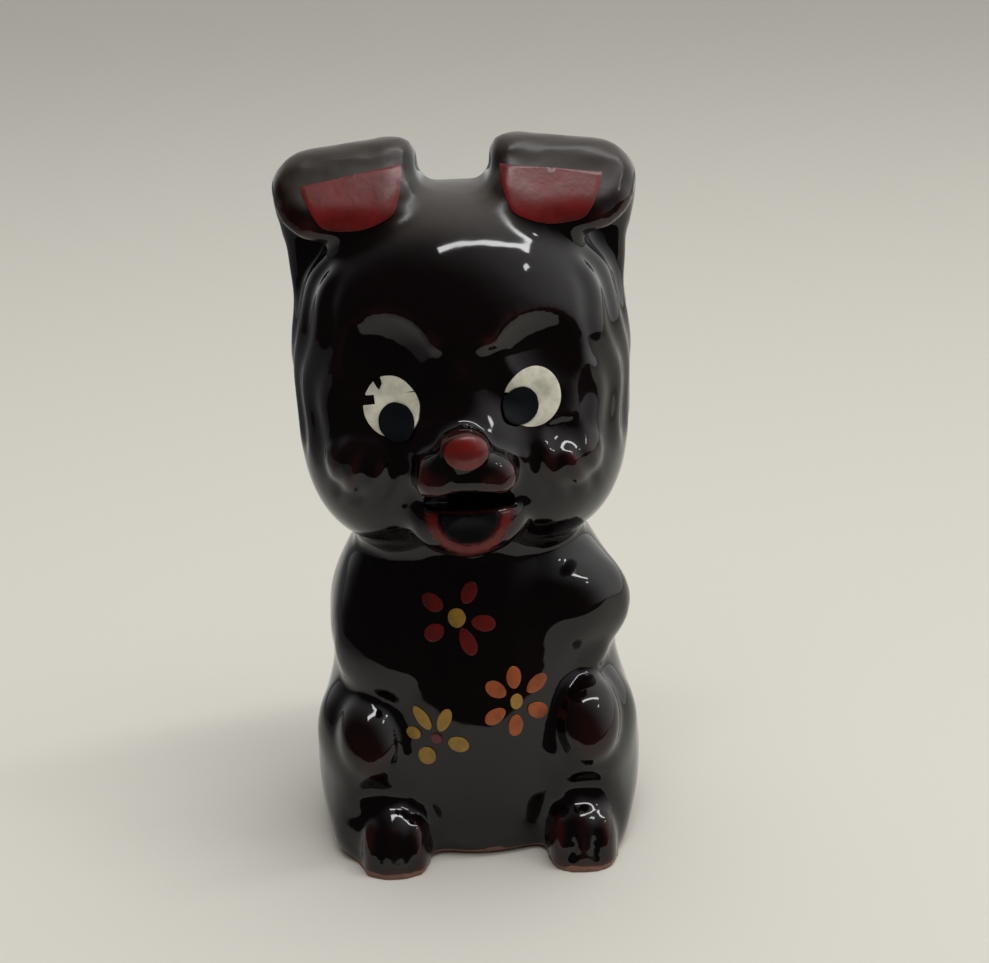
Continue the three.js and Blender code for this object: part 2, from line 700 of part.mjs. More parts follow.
function slotCutter() {
  const [end, half] = [(SLOT_LENGTH - SLOT_WIDTH) / 2, SLOT_WIDTH / 2];
  const outline = new THREE.Shape();
  outline.absarc(end, 0, half, -Math.PI / 2, Math.PI / 2);
  outline.absarc(-end, 0, half, Math.PI / 2, (3 * Math.PI) / 2);
  const cut = new THREE.ExtrudeGeometry(outline, {
    depth: CRANIUM_DEPTH / 2 + ROOM,
    bevelEnabled: false,
    curveSegments: SLOT_END_SEGMENTS,
  });
  return solidOf(cut.rotateX(-Math.PI / 2).translate(0, CRANIUM_SETBACK, craniumZ + SLOT_RISE));
}

const casting = outerSolid()
  .subtract(cavitySolid())
  .subtract(recessCutter())
  .subtract(holeCutter())
  .subtract(slotCutter());

// The cork: tapered like the hole, with its broad end clear of the table
function corkGeometry() {
  const [low, high] = [CORK_LIFT, CORK_LIFT + CORK_LENGTH];
  const radiusAt = (z) => holeRadiusAt(z) - CORK_CLEARANCE;
  const profile = [
    [0, low],
    [radiusAt(low) - CORK_CHAMFER, low],
    [radiusAt(low + CORK_CHAMFER), low + CORK_CHAMFER],
    [radiusAt(high - CORK_CHAMFER), high - CORK_CHAMFER],
    [radiusAt(high) - CORK_CHAMFER, high],
    [0, high],
  ];
  return geometryOf(solidOf(lathe(profile, ROUND_SEGMENTS)));
}

// A view on to the glaze from a bearing, turned from the front towards the dog's left
function viewFrom(bearing) {
  const turn = THREE.MathUtils.degToRad(bearing);
  const outward = new THREE.Vector3(Math.sin(turn), -Math.cos(turn), 0);
  const across = new THREE.Vector3(Math.cos(turn), Math.sin(turn), 0);
  return { outward, across };
}

const FRONT = viewFrom(0);

// The place on the glaze that a view sees at a distance across and a height
function glazeAt(view, across, height) {
  const reach = backY - frontY;
  const point = view.across.clone().multiplyScalar(across).addScaledVector(view.outward, reach);
  point.z = height;
  for (let travelled = 0; travelled < 2 * reach; ) {
    const distance = figureField(point.x, point.y, point.z);
    if (distance < TOUCH) return { point, outward: outwardAt(figureField, point).clone() };
    const step = Math.max(distance / 2, TOUCH);
    point.addScaledVector(view.outward, -step);
    travelled += step;
  }
  throw new Error(`no glaze at ${across}, ${height}`);
}

// A film of enamel over a grid of places on the glaze. Each row has the same number of places; the rows
// close on themselves when `closed` is set, and the first row may be a single place repeated.
function film(view, rows, closed) {
  const count = rows[0].length;
  const layers = [PAINT_CLEARANCE + PAINT_THICKNESS, PAINT_CLEARANCE];
  const places = rows.flat().map(([across, height]) => glazeAt(view, across, height));
  const positions = layers.flatMap((lift) =>
    places.flatMap(({ point, outward }) => point.clone().addScaledVector(outward, lift).toArray()),
  );
  const triangles = [];
  const under = places.length;
  const quad = (p, q, r, s) => triangles.push(p, q, r, p, r, s);
  const spans = closed ? count : count - 1;
  for (let row = 0; row < rows.length - 1; row++)
    for (let n = 0; n < spans; n++) {
      const [a, b] = [row * count + n, row * count + ((n + 1) % count)];
      const [c, d] = [b + count, a + count];
      quad(d, c, b, a);
      quad(under + a, under + b, under + c, under + d);
    }
  const rim = (a, b) => quad(a, b, under + b, under + a);
  const last = (rows.length - 1) * count;
  for (let n = 0; n < spans; n++) {
    rim(last + ((n + 1) % count), last + n);
    if (!closed) rim(n, n + 1);
  }
  if (!closed)
    for (let row = 0; row < rows.length - 1; row++) {
      rim((row + 1) * count, row * count);
      rim(row * count + count - 1, (row + 1) * count + count - 1);
    }
  const geometry = new THREE.BufferGeometry();
  geometry.setAttribute("position", new THREE.Float32BufferAttribute(positions, 3));
  geometry.setIndex(triangles);
  return solidOf(geometry);
}

// A patch is a film inside one closed outline, in rings about its middle.
function patch(view, outline, rings) {
  const middle = outline.reduce(([a, b], [c, d]) => [a + c / outline.length, b + d / outline.length], [0, 0]);
  const ring = (share) =>
    outline.map(([a, b]) => [middle[0] + (a - middle[0]) * share, middle[1] + (b - middle[1]) * share]);
  return film(view, Array.from({ length: rings + 1 }, (_, n) => ring(n / rings)), true);
}

// A place a across and b up from a middle, in a frame turned about it
function turned([across, height], a, b, turn) {
  const [cos, sin] = [Math.cos(turn), Math.sin(turn)];
  return [across + a * cos - b * sin, height + a * sin + b * cos];
}

// Outlines, each a ring of places counted anticlockwise as the view sees them
function oval([across, height], wide, tall, count, turn = 0) {
  return Array.from({ length: count }, (_, n) => {
    const angle = (2 * Math.PI * n) / count;
    const [a, b] = [(Math.cos(angle) * wide) / 2, (Math.sin(angle) * tall) / 2];
    return turned([across, height], a, b, turn);
  });
}

// The lower half of an oval, closed by a straight top edge with one place in its middle
function dee([across, height], wide, tall, count, turn = 0) {
  const arc = Array.from({ length: count }, (_, n) => (Math.PI * n) / (count - 1) - Math.PI);
  const places = arc.map((angle) => [(Math.cos(angle) * wide) / 2, Math.sin(angle) * tall]);
  return [...places, [0, 0]].map(([a, b]) => turned([across, height], a, b, turn));
}

// A straight cutter along the front view
function frontCutter(outline) {
  const shape = new THREE.Shape(outline.map(([across, height]) => new THREE.Vector2(across, height)));
  const depth = -frontY;
  const cut = new THREE.ExtrudeGeometry(shape, { depth, bevelEnabled: false });
  return solidOf(cut.rotateX(Math.PI / 2));
}

// Colour and roughness of each material; none of them is a metal
const FINISHES = {
  brown_glaze: [0x2a1512, 0.08],
  cork: [0xb58a5c, 0.9],
  white_enamel: [0xcfc8ac, 0.4],
  black_enamel: [0x101218, 0.5],
  red_enamel: [0x86252b, 0.4],
  orange_enamel: [0xb8602f, 0.4],
  yellow_enamel: [0xba9534, 0.4],
};
const materials = Object.fromEntries(
  Object.entries(FINISHES).map(([name, [color, roughness]]) => [
    name,
    new THREE.MeshStandardMaterial({ name, color, roughness, metalness: 0 }),
  ]),
);

const root = new THREE.Group();
root.name = "dog_money_box";
function place(name, geometry, material) {
  const mesh = new THREE.Mesh(geometry, materials[material]);
  mesh.name = name;
  root.add(mesh);
}

place("ceramic_casting", geometryOf(casting), "brown_glaze");
place("cork_stopper", corkGeometry(), "cork");

// Eyes: each white is cut round its pupil, and each pupil is painted off the middle, as the dog looks aside
const EYES = [
  { side: "right", sign: -1, lift: -0.3, gaze: [1.1, -2.7] },
  { side: "left", sign: 1, lift: 0.4, gaze: [-2.5, -1.2] },
];
for (const { side, sign, lift, gaze } of EYES) {
  const middle = [(sign * EYE_SPREAD) / 2, craniumZ - EYE_DROP + lift];
  const pupil = [middle[0] + gaze[0], middle[1] + gaze[1]];
  const room = 2 * PAINT_CLEARANCE;
  const clearing = frontCutter(oval(pupil, PUPIL_WIDTH + room, PUPIL_HEIGHT + room, FACE_PAINT_POINTS));
  const white = patch(FRONT, oval(middle, EYE_WIDTH, EYE_HEIGHT, EYE_POINTS), 2).subtract(clearing);
  const black = patch(FRONT, oval(pupil, PUPIL_WIDTH, PUPIL_HEIGHT, FACE_PAINT_POINTS), 2);
  place(`${side}_eye_white`, geometryOf(white), "white_enamel");
  place(`${side}_pupil`, geometryOf(black), "black_enamel");
}

// Nose, lips and mouth
const noseOutline = oval(
  [0, craniumZ - NOSE_DROP],
  NOSE_WIDTH - 2 * NOSE_PAINT_MARGIN,
  NOSE_HEIGHT - 2 * NOSE_PAINT_MARGIN,
  FACE_PAINT_POINTS,
);
place("nose_paint", geometryOf(patch(FRONT, noseOutline, 3)), "red_enamel");
const mouthMiddle = [0, craniumZ - MOUTH_DROP];
const lipRows = [0, 1].map((share) => {
  const grow = (2 * share - 1) * LIP_BAND;
  const [wide, tall] = [MOUTH_WIDTH + grow, (MOUTH_HEIGHT + grow) / 2];
  return dee(mouthMiddle, wide, tall, FACE_PAINT_POINTS).slice(0, -1);
});
place("lip_paint", geometryOf(film(FRONT, lipRows, false)), "red_enamel");
const mouthOutline = dee(
  mouthMiddle,
  MOUTH_WIDTH - LIP_BAND - 4 * PAINT_CLEARANCE,
  (MOUTH_HEIGHT - LIP_BAND - 4 * PAINT_CLEARANCE) / 2,
  FACE_PAINT_POINTS,
);
place("mouth_paint", geometryOf(patch(FRONT, mouthOutline, 2)), "black_enamel");

// Ear linings on the folded flaps
for (const [side, sign] of [["right", -1], ["left", 1]]) {
  const inward = EAR_PAINT_INSET * Math.cos(slope) - EAR_PAINT_DROP * Math.sin(slope);
  const down = -EAR_PAINT_INSET * Math.sin(slope) + EAR_PAINT_DROP * Math.cos(slope);
  const top = [sign * (earTop[0] - inward), earTop[2] - down];
  const lining = dee(top, EAR_PAINT_WIDTH, EAR_PAINT_HEIGHT, FACE_PAINT_POINTS, -sign * slope);
  place(`${side}_ear_paint`, geometryOf(patch(FRONT, lining, 3)), "red_enamel");
}

// Flowers: a dab for the eye of each and a ring of petals at hand-placed angles
const FLOWERS = [
  {
    name: "red_flower", petal: "red_enamel", eye: "yellow_enamel", bearing: 0,
    across: -RED_FLOWER_OFFSET, height: RED_FLOWER_HEIGHT, reach: RED_FLOWER_REACH,
    angles: [149, 62, -13, -67, 213],
  },
  {
    name: "orange_flower", petal: "orange_enamel", eye: "yellow_enamel", bearing: 0,
    across: ORANGE_FLOWER_OFFSET, height: ORANGE_FLOWER_HEIGHT, reach: ORANGE_FLOWER_REACH,
    angles: [143, 94, 34, -34, 266, 210],
  },
  {
    name: "yellow_flower", petal: "yellow_enamel", eye: "red_enamel", bearing: 0,
    across: -YELLOW_FLOWER_OFFSET, height: YELLOW_FLOWER_HEIGHT, reach: YELLOW_FLOWER_REACH,
    angles: [124, 66, -13, 244, 175],
  },
  {
    name: "side_flower", petal: "orange_enamel", eye: "yellow_enamel", bearing: SIDE_FLOWER_BEARING,
    across: 0, height: SIDE_FLOWER_HEIGHT, reach: SIDE_FLOWER_REACH,
    angles: [150, 90, 30, -30, 270, 210],
  },
];
for (const { name, petal, eye, bearing, across, height, reach, angles } of FLOWERS) {
  const view = viewFrom(bearing);
  angles.forEach((degrees, n) => {
    const angle = THREE.MathUtils.degToRad(degrees);
    const middle = [across + reach * Math.cos(angle), height + reach * Math.sin(angle)];
    const outline = oval(middle, PETAL_LENGTH, PETAL_WIDTH, PETAL_POINTS, angle);
    place(`${name}_petal_${n + 1}`, geometryOf(patch(view, outline, 1)), petal);
  });
  const dab = oval([across, height], FLOWER_EYE, FLOWER_EYE, PETAL_POINTS);
  place(`${name}_eye`, geometryOf(patch(view, dab, 1)), eye);
}

// The origin goes under the middle of the whole figure, in the plane that it stands on.
const extent = new THREE.Box3().setFromObject(root);
const centre = extent.getCenter(new THREE.Vector3());
root.position.set(-centre.x, -centre.y, 0);

export default root;
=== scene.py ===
"""Looks of a ceramic dog money box: glazed casting, brushed enamel, cork stopper and a plain studio."""

import json
import math

import bpy
import numpy as np
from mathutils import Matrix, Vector

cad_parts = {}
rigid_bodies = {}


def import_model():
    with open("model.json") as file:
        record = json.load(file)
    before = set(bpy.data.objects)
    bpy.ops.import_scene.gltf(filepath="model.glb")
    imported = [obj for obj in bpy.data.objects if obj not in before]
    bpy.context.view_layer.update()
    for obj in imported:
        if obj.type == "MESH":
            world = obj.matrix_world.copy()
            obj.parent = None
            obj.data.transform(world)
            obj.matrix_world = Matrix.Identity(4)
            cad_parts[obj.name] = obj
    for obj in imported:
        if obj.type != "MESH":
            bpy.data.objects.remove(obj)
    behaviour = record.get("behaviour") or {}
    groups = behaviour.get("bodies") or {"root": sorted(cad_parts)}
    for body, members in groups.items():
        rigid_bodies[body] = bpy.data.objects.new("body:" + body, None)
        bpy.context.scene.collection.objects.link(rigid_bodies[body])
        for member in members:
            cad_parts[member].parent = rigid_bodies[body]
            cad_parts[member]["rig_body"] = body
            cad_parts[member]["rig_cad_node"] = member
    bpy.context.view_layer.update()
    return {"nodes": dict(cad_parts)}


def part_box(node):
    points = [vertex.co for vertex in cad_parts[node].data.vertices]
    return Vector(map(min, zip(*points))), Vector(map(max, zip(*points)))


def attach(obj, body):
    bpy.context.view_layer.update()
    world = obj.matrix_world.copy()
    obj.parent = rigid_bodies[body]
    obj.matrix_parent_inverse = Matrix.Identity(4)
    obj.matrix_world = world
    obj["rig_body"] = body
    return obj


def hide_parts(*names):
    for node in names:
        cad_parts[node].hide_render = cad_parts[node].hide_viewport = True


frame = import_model()

bl_info = {
    "name": "Dog Money Box",
    "version": (1, 0, 0),
    "blender": (4, 5, 0),
    "location": "View3D > Sidebar > Money Box",
    "description": "Models a glazed ceramic dog money box round its packed frame",
    "category": "Object",
}

MM = 0.001
STOPPER_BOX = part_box("cork_stopper")
STOPPER_AXIS = ((STOPPER_BOX[0] + STOPPER_BOX[1]) / 2)[:2]
BOX_BODY = "money_box"
STOPPER_BODY = "stopper"
WEIGHT_LEVELS = 100
SWELL_PASSES = 12


# Shader maths


class Tie:
    """One output of a shader node, so that maths on it reads as Python."""

    def __init__(self, finish, socket):
        self.finish = finish
        self.socket = socket

    def maths(self, operation, *values):
        return self.finish.node("ShaderNodeMath", {"operation": operation}, dict(enumerate(values)))[0]

    def __add__(self, other):
        return self.maths("ADD", self, other)

    def __radd__(self, other):
        return self.maths("ADD", other, self)

    def __sub__(self, other):
        return self.maths("SUBTRACT", self, other)

    def __rsub__(self, other):
        return self.maths("SUBTRACT", other, self)

    def __mul__(self, other):
        return self.maths("MULTIPLY", self, other)

    def ramp(self, low, high):
        """0 below low, 1 above high, and a smooth step between them."""
        settings = {"interpolation_type": "SMOOTHSTEP"}
        return self.finish.node("ShaderNodeMapRange", settings, {0: self, 1: low, 2: high})[0]


class Made:
    """A node that was added, whose outputs are read by name or number."""

    def __init__(self, finish, node):
        self.finish = finish
        self.made = node

    def __getitem__(self, key):
        return Tie(self.finish, self.made.outputs[key])


class Finish:
    """A material or world that is put together from nodes."""

    def __init__(self, owner):
        owner.use_nodes = True
        self.owner = owner
        self.tree = owner.node_tree
        self.tree.nodes.clear()

    def node(self, kind, settings=None, sockets=None):
        made = self.tree.nodes.new(kind)
        for key, value in (settings or {}).items():
            setattr(made, key, value)
        for key, value in (sockets or {}).items():
            if isinstance(value, Tie):
                self.tree.links.new(value.socket, made.inputs[key])
            else:
                made.inputs[key].default_value = value
        return Made(self, made)

    def place(self):
        return self.node("ShaderNodeTexCoord")["Object"]

    def noise(self, place, scale, detail=2.0, roughness=0.5):
        sockets = {"Vector": place, "Scale": scale, "Detail": detail, "Roughness": roughness}
        return self.node("ShaderNodeTexNoise", None, sockets)["Fac"]

    def attribute(self, name):
        return self.node("ShaderNodeAttribute", {"attribute_name": name})["Fac"]

    def mix(self, share, first, second):
        return self.node("ShaderNodeMix", {"data_type": "RGBA"}, {0: share, 6: first, 7: second})[2]

    def bump(self, height, distance, strength=1.0):
        sockets = {"Height": height, "Distance": distance, "Strength": strength}
        return self.node("ShaderNodeBump", None, sockets)["Normal"]

    def surface(self, **sockets):
        named = {key.replace("_", " ").title().replace("Ior", "IOR"): value for key, value in sockets.items()}
        shader = self.node("ShaderNodeBsdfPrincipled", None, named)["BSDF"]
        self.node("ShaderNodeOutputMaterial", None, {"Surface": shader})
        return self.owner


def new_finish(name):
    return Finish(bpy.data.materials.new(name))


def shaded(tint, part):
    """A darker shade of a colour."""
    return [channel * part for channel in tint[:3]] + [1]


def in_metres(lengths):
    return [each * MM for each in lengths]


# Sizes and colours that a user would change


def length(name, description, millimetres):
    return bpy.props.FloatProperty(
        name=name, description=description, default=millimetres * MM, unit="LENGTH", precision=5
    )


def share(name, description, default):
    return bpy.props.FloatProperty(name=name, description=description, default=default, min=0, max=1)


def colour(name, description, default):
    return bpy.props.FloatVectorProperty(
        name=name, description=description, default=default, size=4, min=0, max=1, subtype="COLOR"
    )


class MoneyBoxCasting(bpy.types.PropertyGroup):
    """Sizes and colours of the glazed casting."""

    grain: length("Grain", "Size of the mesh's faces on the outside of the casting", 0.70)
    wall: length("Wall", "Thickness of the cast wall", 4)
    slot_length: length("Slot length", "Length of the coin slot", 34)
    slot_width: length("Slot width", "Width of the coin slot", 5)
    foot_line: length("Foot line", "Height of the bare clay that the glaze leaves at the foot", 1.2)
    glaze: colour("Glaze", "Thick glaze", (0.0036, 0.0016, 0.0019, 1))
    thin_glaze: colour("Thin glaze", "Glaze where it runs thin over edges", (0.050, 0.0105, 0.0090, 1))
    dust: colour("Dust", "Dust on the top of the head", (0.040, 0.029, 0.021, 1))
    clay: colour("Clay", "Bare fired clay", (0.33, 0.165, 0.115, 1))
    gloss: share("Gloss", "Roughness of the glaze", 0.045)


class MoneyBoxStopper(bpy.types.PropertyGroup):
    """Sizes and colours of the cork."""

    chamfer: length("Chamfer", "Bevel of the cork's two rims", 0.9)
    cork: colour("Cork", "Body of the cork", (0.45, 0.25, 0.11, 1))
    lenticel: colour("Lenticels", "Dark pores of the cork", (0.12, 0.052, 0.022, 1))


class MoneyBoxEnamel(bpy.types.PropertyGroup):
    """Sizes and colours of the brushed enamel."""

    film: length("Film", "Thickness of a brush stroke", 0.22)
    lift: length("Lift", "How far the underside of a stroke stands off the glaze", 0.06)
    wobble: length("Wobble", "Unevenness of a stroke's edge", 0.10)
    white: colour("White", "Eye white", (0.80, 0.76, 0.62, 1))
    black: colour("Black", "Pupils and mouth", (0.0065, 0.0075, 0.0100, 1))
    red: colour("Red", "Nose, lips, ear linings and red petals", (0.150, 0.0095, 0.0085, 1))
    orange: colour("Orange", "Orange petals", (0.37, 0.088, 0.024, 1))
    yellow: colour("Yellow", "Yellow petals and flower eyes", (0.40, 0.225, 0.036, 1))


class MoneyBoxStage(bpy.types.PropertyGroup):
    """Floor, light and camera."""

    floor: colour("Floor", "Floor colour", (0.68, 0.655, 0.595, 1))
    lens: bpy.props.FloatProperty(name="Lens", description="Focal length", default=65.52, unit="CAMERA")
    pitch: bpy.props.FloatProperty(
        name="Pitch", description="How far the camera looks down", default=math.radians(19.2), subtype="ANGLE"
    )
    roll: bpy.props.FloatProperty(
        name="Roll", description="How far the camera leans", default=math.radians(2.3), subtype="ANGLE"
    )
    camera_place: bpy.props.FloatVectorProperty(
        name="Camera place", description="Where the camera stands", default=(0.0055, -0.3418, 0.1905),
        subtype="TRANSLATION",
    )


# Modelling by hand, in code


def clear_selection():
    if bpy.context.object and bpy.context.object.mode != "OBJECT":
        bpy.ops.object.mode_set(mode="OBJECT")
    bpy.ops.object.select_all(action="DESELECT")


def pick(piece, *others):
    clear_selection()
    for each in (piece, *others):
        each.select_set(True)
    bpy.context.view_layer.objects.active = piece


def modify(piece, kind, **settings):
    """Adds a modifier to a piece and applies it."""
    pick(piece)
    bpy.ops.object.modifier_add(type=kind)
    modifier = piece.modifiers[-1]
    for key, value in settings.items():
        setattr(modifier, key, value)
    bpy.ops.object.modifier_apply(modifier=modifier.name)


def settle(piece):
    """Moves a piece's place, turn and size into its mesh."""
    pick(piece)
    bpy.ops.object.transform_apply(location=True, rotation=True, scale=True)


def face_outward(piece):
    pick(piece)
    bpy.ops.object.mode_set(mode="EDIT")
    bpy.ops.mesh.select_all(action="SELECT")
    bpy.ops.mesh.normals_make_consistent(inside=False)
    bpy.ops.object.mode_set(mode="OBJECT")


def join(piece, others):
    pick(piece, *others)
    bpy.ops.object.join()


def cut(piece, *cutters, **settings):
    """Cuts solids out of a piece."""
    for cutter in cutters:
        modify(piece, "BOOLEAN", operation="DIFFERENCE", object=cutter, **settings)
        bpy.data.objects.remove(cutter)


def ball(middle, size, turn=(0, 0, 0)):
    """An egg of a size in millimetres about a place in millimetres."""
    clear_selection()
    bpy.ops.mesh.primitive_ico_sphere_add(subdivisions=4, radius=0.5)
    egg = bpy.context.object
    egg.scale = [side * MM for side in size]
    egg.rotation_euler = [math.radians(angle) for angle in turn]
    egg.location = [along * MM for along in middle]
    settle(egg)
    return egg


def both_sides(middle, size, turn=(0, 0, 0)):
    """The same egg on the dog's left and right."""
    mirrored = (-middle[0], *middle[1:])
    return [ball(middle, size, turn), ball(mirrored, size, (turn[0], -turn[1], -turn[2]))]


def keep_above(piece, height):
    """Cuts a solid off level at a height in millimetres and keeps what is above."""
    pick(piece)
    bpy.ops.object.mode_set(mode="EDIT")
    bpy.ops.mesh.select_all(action="SELECT")
    bpy.ops.mesh.bisect(plane_co=(0, 0, height * MM), plane_no=(0, 0, 1), use_fill=True, clear_inner=True)
    bpy.ops.object.mode_set(mode="OBJECT")


def merged_copy(node, name):
    """A copy of a CAD node's solid, with its loose triangles sewn together."""
    source = frame["nodes"][node]
    pick(source)
    bpy.ops.object.duplicate()
    copy = bpy.context.object
    bpy.ops.object.parent_clear(type="CLEAR_KEEP_TRANSFORM")
    copy.name = name
    copy.data.materials.clear()
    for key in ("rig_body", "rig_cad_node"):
        del copy[key]
    bpy.ops.object.mode_set(mode="EDIT")
    bpy.ops.mesh.select_all(action="SELECT")
    bpy.ops.mesh.remove_doubles(threshold=1e-6)
    bpy.ops.object.mode_set(mode="OBJECT")
    return copy


def places_of(piece):
    flat = np.empty(len(piece.data.vertices) * 3, np.float32)
    piece.data.vertices.foreach_get("co", flat)
    return flat.reshape(-1, 3)


def step(values, low, high):
    t = np.clip((values - low) / (high - low), 0, 1)
    return t * t * (3 - 2 * t)


def weight(piece, name, weights):
    """A vertex group from one weight for each vertex, in hundredths."""
    group = piece.vertex_groups.new(name=name)
    levels = np.round(np.asarray(weights) * WEIGHT_LEVELS).astype(int)
    for level in range(1, WEIGHT_LEVELS + 1):
        group.add(np.flatnonzero(levels == level).tolist(), level / WEIGHT_LEVELS, "REPLACE")


def store(piece, name, values):
    """A number for each vertex, which a material can read."""
    attribute = piece.data.attributes.new(name, "FLOAT", "POINT")
    attribute.data.foreach_set("value", np.asarray(values, np.float32))


def swell(piece):
    """How much the surface bulges at each vertex, from -1 in creases to 1 on edges."""
    mesh = piece.data
    places = places_of(piece)
    normals = np.empty(len(mesh.vertices) * 3, np.float32)
    mesh.vertex_normals.foreach_get("vector", normals)
    normals = normals.reshape(-1, 3)
    edges = np.empty(len(mesh.edges) * 2, np.int32)
    mesh.edges.foreach_get("vertices", edges)
    first, second = edges.reshape(-1, 2).T
    gap = places[second] - places[first]
    reach = np.linalg.norm(gap, axis=1) ** 2
    valence = np.bincount(edges, minlength=len(places))
    bulge = np.zeros(len(places))
    np.add.at(bulge, first, -np.einsum("ij,ij->i", gap, normals[first]) / reach)
    np.add.at(bulge, second, np.einsum("ij,ij->i", gap, normals[second]) / reach)
    bulge /= valence
    for _ in range(SWELL_PASSES):
        spread = np.bincount(first, bulge[second], len(places))
        spread += np.bincount(second, bulge[first], len(places))
        bulge = (bulge + spread / valence) / 2
    return bulge * MM


def finish_piece(piece, node, slot, body, *materials):
    """Gives a piece its materials and sets it in place of its CAD node."""
    for material in materials:
        if material.name not in piece.data.materials:
            piece.data.materials.append(material)
    pick(piece)
    bpy.ops.object.shade_smooth()
    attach(piece, body)
    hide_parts(node)


# The casting

# Forms in millimetres and degrees: the middle, the size and the turn of an egg
HEAD_MIDDLE = (0, 3.2, 99)
HEAD_SIZE = (66, 58, 65)
BROW_LINE = 106
GROUND = 0
CHEEK = ((16.8, -17.6, 83.6), (18.5, 17, 15.5), (0, 0, 15))
NOSE = ((0.5, -32.2, 89), (8.6, 7.4, 7.2))
MUZZLE = ((0.4, -30.3, 83.8), (13.4, 8.8, 6.8))
LIP_LOBE = ((4.4, -29.6, 84.6), (9.4, 8.6, 7.2))
JAW = ((0.6, -23.2, 73), (21.6, 14, 14.4))
JAW_GAP = ((1.0, -29.5, 78.2), (21, 17, 3.7), (-22, 0, 0))
MOUTH_DISH = ((0.5, -31.6, 72.4), (12, 6, 7.6))
MUZZLE_TRIM = ((-12.3, -31.5, 86), (8.8, 12, 15))
CHEEK_FACET = ((19.3, -24.7, 87.4), (12, 10, 3.2), (43, 0, 20.5))
KNEES = (
    ((22, -18.6, 27.6), (13, 12.5, 19), (-48, 0, 0)),
    ((-21, -18.6, 25.8), (13, 12.5, 19), (-48, 0, 0)),
)
KNEE_HOLLOW = ((21.5, -30.5, 15), (18, 16, 10))
FOREARM = ((-17.8, -13.5, 40.2), (23, 13, 20), (0, 24, -32))
FLANK = ((20.6, -11.3, 40.4), (13, 8.6, 13))

# The feet give where a toe or a cleft lies across; its own place is along and up
FEET_ACROSS = (-17.2, 20.3)
TOE_SPREAD = 4.1
TOE = ((-24.4, 1), (5.8, 13, 19))
CLEFT = ((-31.2, 6.8), (1.4, 5, 13))

BROW_DISHES = (
    ((-18.4, -34.2, 104.4), (34, 34, 30), (4, 0, -5)),
    ((21.2, -35.5, 104.2), (38, 37, 30), (10, 0, 11)),
)
# The space inside, with the wall still in it: head, haunches, chest and neck
ROOMS = (
    ((0, 7.5, 99), (66, 49, 65)),
    ((0, 5.2, 10), (58, 59, 70)),
    ((0, 5.2, 44), (56, 50, 50)),
    ((0, 4.2, 66), (40, 40, 60)),
)
ROOM_GRAIN = 2.4
ROOM_PASSES = 8
CORE_INSET = 4

# Smoothing: how many passes, what it takes off, and where the face, feet and ears are kept crisp
FINE_PASSES = 5
BROAD_PASSES = 28
SMOOTH_LOSS = 0.3
FACE_FRONT = (14, 20)
FACE_HEIGHT = (60, 66)
FEET_FRONT = (22, 26)
FEET_HEIGHT = (16, 20)
EARS_HEIGHT = (120, 126)
RAISED_HEIGHT = (2, 8)

# Hair: the locks down the sides of the head and the tufts along the cheeks, with their soft limits
LOCK_WIDTH = 6.5
LOCK_SWAY = 3.2
LOCK_CURL = 0.25
LOCK_DEPTH = 0.3
LOCK_ACROSS = (20, 25)
LOCK_LOW = (80, 86)
LOCK_HIGH = (116, 124)
LOCK_BACK = (8, 16)
TUFT_WIDTH = 4.4
TUFT_SLANT = 0.35
TUFT_INNER = (9, 12)
TUFT_OUTER = (24, 27)
TUFT_LOW = (75, 78)
TUFT_HIGH = (84, 88)
TUFT_FRONT = (8, 14)
COMB_PASSES = 2

# The slot, the hole and the plug that closes the hole until it is cut
SLOT_HEIGHT = 103
SLOT_REACH = 60
HOLE_RADIUS = (13.8, 12.3)
HOLE_LOW = -1
HOLE_HIGH = 14
FLOOR_TOP = 6
PLUG_RADIUS = 16
PLUG_LOW = 2.6
ROUND_SIDES = 96

# The glaze: waves to the metre of its patterns, and where it is thin, wiped off and dusty
CLOUD_SCALE = 70.0
RIPPLE_SCALE = 110.0
FOOT_SCALE = 160.0
SPECK_SCALE = 900.0
BLOTCH_SCALE = 90.0
CLAY_SCALE = 700.0
GLAZE_IOR = 1.46
THIN_SWELL = (0.035, 0.20)
THIN_DRIFT = 0.08
FOOT_DRIFT = 3.2
FOOT_FADE = 0.25
WIPED_HEIGHT = (3.5, 5)
WIPED_FACING = (0.4, 0.7)
DUST_HEIGHT = (122, 131)
DUST_FACING = (0.35, 0.85)
RIPPLE_DEPTH = 0.25
CLAY_DEPTH = 0.12


